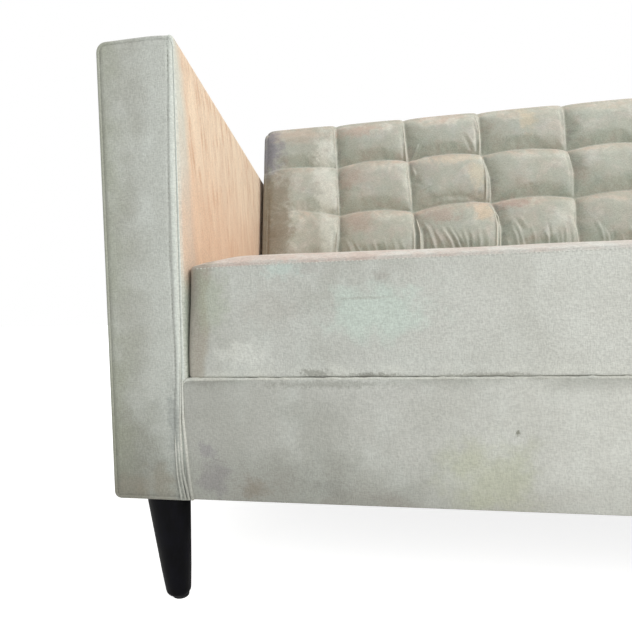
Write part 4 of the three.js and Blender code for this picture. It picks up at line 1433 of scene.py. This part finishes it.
# Folds in the back's cover: height and half width in mm, then the points in mm that it runs
# along, sideways from the arm's outer face and up the face from the knee
backFolds = [
    (3.4, 2.0, (297, 402), (297, 363), (299, 319), (299, 284)),
    (3.2, 2.0, (299, 274), (300, 234), (302, 193), (304, 160)),
    (4.2, 2.2, (300, 142), (299, 113), (296, 74), (293, 36)),
    (-2.3, 2.4, (290, 142), (290, 113), (287, 74), (284, 36)),
    (4.4, 2.2, (466, 402), (469, 360), (470, 323), (473, 290)),
    (-2.1, 2.4, (458, 385), (462, 350), (464, 315), (467, 292)),
    (4.2, 2.2, (470, 278), (472, 239), (474, 201), (476, 170)),
    (3.4, 2.2, (481, 281), (485, 266), (488, 246)),
    (3.9, 2.4, (474, 137), (475, 102), (473, 36)),
    (5.0, 2.2, (485, 137), (490, 101), (489, 36)),
    (-3.4, 2.4, (494, 126), (498, 101), (497, 36)),
    (2.6, 2.4, (491, 133), (507, 105), (515, 74), (523, 36)),
    (-1.8, 2.4, (500, 135), (516, 105), (524, 74), (531, 36)),
    (4.4, 2.2, (637, 404), (643, 373), (644, 342), (642, 296)),
    (-3.9, 2.6, (630, 398), (636, 356), (635, 301)),
    (3.8, 2.2, (644, 280), (646, 246), (645, 206), (644, 168)),
    (-2.6, 2.0, (648, 276), (651, 246), (650, 206), (649, 168)),
    (2.9, 2.2, (652, 276), (655, 246), (655, 206), (653, 168)),
    (3.6, 2.4, (649, 158), (657, 133), (657, 103), (652, 36)),
    (-2.9, 2.0, (653, 158), (662, 131), (662, 103), (657, 36)),
    (3.6, 2.4, (658, 158), (666, 130), (666, 102), (661, 36)),
    (1.7, 2.8, (487, 153), (515, 168), (543, 177), (572, 179), (605, 175), (645, 162)),
    (-1.5, 2.8, (500, 171), (543, 187), (572, 189), (605, 185), (635, 173)),
    (2.4, 2.2, (476, 290), (489, 312), (502, 338)),
    (-1.8, 2.4, (483, 288), (496, 308), (512, 330)),
    (1.6, 2.4, (487, 286), (508, 300), (532, 312)),
    (-1.8, 3.2, (601, 358), (613, 330), (625, 306)),
    (1.5, 3.0, (610, 362), (622, 333), (633, 308)),
    (1.1, 2.8, (503, 203), (521, 221)),
    (1.0, 3.0, (255, 318), (268, 305), (285, 296)),
    (-1.0, 3.0, (262, 330), (276, 312), (290, 300)),
    (1.0, 3.0, (230, 345), (246, 322), (262, 300)),
    (2.1, 2.4, (312, 104), (325, 72), (337, 34)),
    (-2.1, 2.4, (326, 95), (339, 66), (348, 34)),
    (2.3, 2.4, (337, 84), (350, 58), (357, 32)),
    (-1.8, 2.4, (352, 80), (361, 56), (366, 32)),
    (2.1, 2.4, (362, 80), (371, 57), (375, 32)),
    (1.8, 2.4, (376, 86), (386, 61), (394, 32)),
    (-1.8, 2.4, (386, 80), (396, 60), (404, 32)),
    (1.8, 2.4, (402, 92), (410, 62), (414, 32)),
    (1.6, 2.4, (424, 96), (430, 64), (433, 32)),
    (-1.6, 2.4, (434, 90), (441, 60), (443, 32)),
    (1.6, 2.4, (444, 84), (451, 60), (453, 32)),
    (1.8, 2.4, (514, 112), (531, 78), (547, 40)),
    (2.6, 2.4, (531, 116), (547, 82), (566, 40)),
    (-2.4, 2.4, (539, 114), (556, 80), (573, 42)),
    (2.3, 2.4, (546, 118), (564, 79), (580, 42)),
    (-1.8, 2.4, (555, 108), (571, 78), (586, 42)),
    (2.1, 2.4, (561, 103), (575, 76), (592, 42)),
    (2.3, 2.4, (580, 108), (586, 77), (594, 40)),
    (-2.1, 2.4, (589, 104), (594, 77), (598, 40)),
    (2.1, 2.4, (598, 108), (601, 79), (602, 40)),
    (2.1, 2.4, (615, 102), (617, 73), (617, 40)),
    (-1.8, 2.4, (623, 98), (626, 72), (626, 40)),
    (1.8, 2.4, (632, 98), (635, 72), (634, 40)),
    (-1.1, 3.0, (690, 130), (702, 108), (712, 84)),
    (1.1, 3.0, (700, 132), (712, 110), (722, 86)),
    (0.6, 3.0, (124, 274), (124, 206), (124, 137), (123, 20)),
    (-2.3, 2.6, (130, 270), (130, 206), (130, 137), (129, 20)),
]


# The columns that the first folds leave out get folds of the same kinds at seeded places
def furtherFolds():
    rng = random.Random(11)
    made = []
    left = (backLow.x - armLow.x) / mm
    wide = tuftWidth / mm
    # tucks along the upright seams
    for seam in (4, 5):
        drift = back["drift"][seam]
        for first, last in ((1, 3), (3, 5), (5, 6)):
            tucks = ((-5, rng.uniform(2, 3)), (rng.choice((-12, 7)), rng.uniform(-2.6, 2.6)))
            for side, rise in tucks:
                points = []
                for level in range(first, last + 1):
                    x = left + wide * seam + drift[level][0] + side
                    points.append((x, back["driftHeights"][level]))
                made.append((rise, 2.4, *points))
    # pleats that fan up from the lowest seam
    for column in (3, 4, 5):
        x = left + wide * column + rng.uniform(14, 24)
        while x < left + wide * (column + 1) - 12:
            high = rng.uniform(78, 122)
            lean = rng.uniform(10, 30) * (1 - (x - left - wide * column) / wide)
            rise = rng.uniform(1.5, 2.4) * rng.choice((1, 1, -1))
            middle = (x + lean * 0.6, (high + 36) / 2)
            made.append((rise, 2.6, (x, high), middle, (x + lean, 32)))
            x += rng.uniform(9, 17)
    # short pulls round the tufts' corners
    for column, row in ((4, 167), (4, 298), (5, 167), (5, 298)):
        for pull in range(3):
            turn = math.radians(rng.uniform(35, 145))
            long = rng.uniform(24, 44)
            x, s = left + wide * column, row
            points = [(x + math.cos(turn) * d, s + math.sin(turn) * d) for d in (5, long / 2, long)]
            made.append((rng.choice((-1.3, 1.3)), 3.0, *reversed(points)))
    return made


allFolds = backFolds + furtherFolds()


# Raises or sinks the cover along its folds, each fading out at both ends
def pressFolds(bm):
    knee = Vector((0, backLow.y, back["kneeHeight"]))
    cells = {}
    for vert in bm.verts:
        if vert.normal.dot(backOut) > 0.2 and vert.co.y < backHigh.y - 60 * mm:
            x = (vert.co.x - armLow.x) / mm
            s = (vert.co - knee).dot(backUp) / mm
            cells.setdefault((int(x // 20), int(s // 20)), []).append((vert, x, s))
    for rise, spread, *points in allFolds:
        lengths = [math.dist(a, b) for a, b in zip(points, points[1:])]
        whole = sum(lengths)
        reach = 2.6 * spread
        spans = []
        for axis in range(2):
            places = [point[axis] for point in points]
            spans.append(range(int((min(places) - reach) // 20), int((max(places) + reach) // 20) + 1))
        for cell in itertools.product(*spans):
            for vert, x, s in cells.get(cell, ()):
                best, place, passed = reach, 0.0, 0.0
                for (ax, ay), (bx, by), length in zip(points, points[1:], lengths):
                    t = ((x - ax) * (bx - ax) + (s - ay) * (by - ay)) / length**2
                    t = min(1.0, max(0.0, t))
                    away = math.hypot(x - ax - (bx - ax) * t, s - ay - (by - ay) * t)
                    if away < best:
                        best, place = away, (passed + t * length) / whole
                    passed += length
                if best < reach:
                    fade = smoothStep(0, 0.6, place) * smoothStep(0, 0.2, 1 - place)
                    vert.co += backOut * rise * mm * fade * math.exp(-((best / spread) ** 2))


# The long tucks get a thin pale cord of folded pile on the finished cover, a painted highlight along
# their edges
def layTuckEdges(bm):
    cover = BVHTree.FromBMesh(bm)
    edges = bmesh.new()
    for rise, spread, *points in allFolds:
        lengths = [math.dist(a, b) for a, b in zip(points, points[1:])]
        if rise < back["tuckRise"] or sum(lengths) < back["tuckLength"] / mm:
            continue
        places, radii = [], []
        for (first, second), length in zip(zip(points, points[1:]), lengths):
            count = max(1, round(length / 4))
            for i in range(count):
                x, s = [a + (b - a) * i / count for a, b in zip(first, second)]
                start = Vector((armLow.x + x * mm, backLow.y, back["kneeHeight"]))
                hit = cover.ray_cast(start + backUp * s * mm + backOut * 0.1, -backOut)[0]
                if hit:
                    places.append(hit + backOut * 0.3 * mm)
        for i in range(len(places)):
            share = i / (len(places) - 1)
            ends = smoothStep(0, 0.12, share) * smoothStep(0, 0.12, 1 - share)
            radii.append(back["tuckRadius"] * (0.35 + 0.65 * ends))
        foldAlong(edges, places, radii)
    turnOut(edges)
    finishPiece("backTuckEdges", edges, paleVelvet)


def makeBack():
    bm, places = backGrid()
    held = []
    for vert in bm.verts:
        x, s = places[vert]
        column, u, row, v = tuftPlace(x, s)
        height = faceHeight(x, s)
        side, rise = seamDrift(x, s)
        aside = min(u, 1 - u) * tuftWidth
        across = min(abs(s - seam) for seam in back["rowSeams"])
        if min(aside, across) < back["heldNear"] or vert.is_boundary:
            held.append(vert.index)
        x, s = roundCorner(*easeIn(x + side, s))[:2]
        vert.co = facePoint(x, s + rise, height)
    count = len(bm.verts)
    rollOver(bm, places)
    held += range(count, len(bm.verts))
    turnOut(bm)
    piece = finishPiece("tuftedBack", bm, backVelvet, replaced=("back_cover", "back_foam"))
    puffCover(piece, held, back["simulation"])
    bm = bmesh.new()
    bm.from_mesh(piece.data)
    bmesh.ops.subdivide_edges(bm, edges=bm.edges, cuts=1, use_grid_fill=True, smooth=0.0)
    everyWay = {"use_axis_x": True, "use_axis_y": True, "use_axis_z": True}
    bmesh.ops.smooth_vert(bm, verts=bm.verts, factor=0.5, **everyWay)
    bm.normal_update()
    pressFolds(bm)
    layTuckEdges(bm)
    bm.to_mesh(piece.data)
    bm.free()


makeBack()
print("back made")


# The legs, turned on a lathe and set to lean inwards
leg = {
    "topRadius": 31 * mm,
    "footRadius": 17.9 * mm,
    "rounding": 7 * mm,
    "lean": (7.3 * mm, 7 * mm),
    "sides": 40,
}


def makeLeg(node):
    low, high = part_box(node)
    height = high.z - low.z
    inward = [1 if low[i] + high[i] < 0 else -1 for i in range(2)]
    outer = [low[i] if inward[i] > 0 else high[i] for i in range(2)]
    bm = bmesh.new()
    foot, top, rounding = leg["footRadius"], leg["topRadius"], leg["rounding"]
    profile = [(0, 0)]
    for k in range(5):
        turn = math.pi / 2 * k / 4
        profile.append((foot - rounding * (1 - math.sin(turn)), rounding * (1 - math.cos(turn))))
    for share in (0.25, 0.5, 0.75, 0.985):
        profile.append((foot + (top - foot) * share, height * share))
    profile += [(top - 0.3 * mm, height), (0, height)]
    verts = [bm.verts.new((across, 0, low.z + up)) for across, up in profile]
    edges = [bm.edges.new(pair) for pair in zip(verts, verts[1:])]
    spin = {"cent": (0, 0, 0), "axis": (0, 0, 1), "angle": 2 * math.pi, "steps": leg["sides"]}
    bmesh.ops.spin(bm, geom=verts + edges, use_merge=True, **spin)
    bmesh.ops.remove_doubles(bm, verts=bm.verts, dist=0.01 * mm)
    for vert in bm.verts:
        share = (high.z - vert.co.z) / height
        for i in range(2):
            vert.co[i] += outer[i] + inward[i] * (top + leg["lean"][i] * share)
    turnOut(bm)
    finishPiece(node + "_turned", bm, lacquer, replaced=(node,), sharp=50)


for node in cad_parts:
    if node.startswith("leg_"):
        makeLeg(node)
print("legs made")


# CAD parts that keep their own shape take the finish that their material slot names
finishes = {
    "plywood": birchPly,
    "hardboard": hardboard,
    "foam": foamCream,
    "felt": greyFelt,
    "dust_cloth": dustCloth,
    "elastic_webbing": rubberWebbing,
    "spring_steel": springWire,
    "zinc_steel": zincSteel,
    "glide_plastic": nylon,
    "velvet": velvet,
    "leg_lacquer": lacquer,
}
for name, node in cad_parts.items():
    low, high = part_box(name)
    reach = high - low
    timber = (pineX, pineY, pineZ)[max(range(3), key=lambda i: reach[i])]
    for slotPlace in node.material_slots:
        label = slotPlace.material.name.split(".")[0]
        slotPlace.material = finishes.get(label, timber)
print("finishes given")


# Floor, lights and surroundings
studio = {
    "floorSize": 14.0,
    "floorTone": "#f2f2f0",
    "worldStrength": 0.4,
    "glow": (0.82, 1.0),  # camera rays only, so that the floor reads white round the shadow
    "glowReach": (1.2, 3.5),
    "lampAim": (-0.3, 0, 0.45),
}


def makeStudio():
    bm = bmesh.new()
    bmesh.ops.create_grid(bm, x_segments=1, y_segments=1, size=studio["floorSize"])
    mesh = bpy.data.meshes.new("studioFloor")
    bm.to_mesh(mesh)
    bm.free()
    mesh.transform(Matrix.Translation((0, 0, floorHeight)))
    floor = bpy.data.objects.new("studioFloor", mesh)
    bpy.context.scene.collection.objects.link(floor)
    material, tree, principled = newMaterial("paintedFloor", {"Roughness": 0.9})
    cloud = cloudMask(tree, 0.6, 0.3, 0.7)
    color = layTones(tree, hexColor(studio["floorTone"]), [(hexColor("#eeeeec"), 0.5, [cloud])])
    tree.links.new(color.outputs[2], principled.inputs["Base Color"])
    seen = addNode(tree, "LightPath").outputs["Is Camera Ray"]
    coords = addNode(tree, "TexCoord").outputs["Object"]
    away = addNode(tree, "VectorMath", {"operation": "LENGTH"}, {0: coords}).outputs["Value"]
    span = {"interpolation_type": "SMOOTHSTEP"}
    span.update(enumerate(studio["glowReach"] + studio["glow"], 1))
    level = addNode(tree, "MapRange", span, {0: away})
    glow = addNode(tree, "Math", {"operation": "MULTIPLY"}, {0: seen, 1: level})
    principled.inputs["Emission Color"].default_value = (1, 1, 1, 1)
    tree.links.new(glow.outputs[0], principled.inputs["Emission Strength"])
    mesh.materials.append(material)
    world = bpy.data.worlds.new("studioWorld")
    world.use_nodes = True
    bpy.context.scene.world = world
    tree = world.node_tree
    tree.nodes.clear()
    path = addNode(tree, "LightPath")
    seen = path.outputs["Is Camera Ray"]
    for name in ("Is Glossy Ray", "Is Transmission Ray"):
        seen = addNode(tree, "Math", {"operation": "MAXIMUM"}, {0: seen, 1: path.outputs[name]})
    strength = addNode(tree, "MapRange", {3: studio["worldStrength"], 4: 1.0}, {0: seen})
    glow = addNode(tree, "Background", {"Color": (1, 1, 1, 1)}, {"Strength": strength})
    addNode(tree, "OutputWorld", None, {"Surface": glow})


lamps = {
    "keyLight": {"place": (2.3, -2.3, 2.3), "size": 2.0, "power": 92, "color": (1.0, 0.992, 0.98)},
    "fillLight": {"place": (-1.2, -2.9, 1.5), "size": 2.4, "power": 15, "color": (0.98, 0.99, 1.0)},
    "topLight": {"place": (0.2, 0.6, 3.0), "size": 2.6, "power": 30, "color": (1.0, 0.99, 0.98)},
}


def makeLamps():
    for name, look in lamps.items():
        light = bpy.data.lights.new(name, "AREA")
        light.shape = "SQUARE"
        light.size = look["size"]
        light.energy = look["power"]
        light.color = look["color"]
        lamp = bpy.data.objects.new(name, light)
        lamp.location = look["place"]
        aim = Vector(studio["lampAim"]) - lamp.location
        lamp.rotation_mode = "QUATERNION"
        lamp.rotation_quaternion = aim.to_track_quat("-Z", "Y")
        bpy.context.scene.collection.objects.link(lamp)


makeStudio()
makeLamps()
bpy.context.scene.view_settings.view_transform = "Standard"
print("scene made")
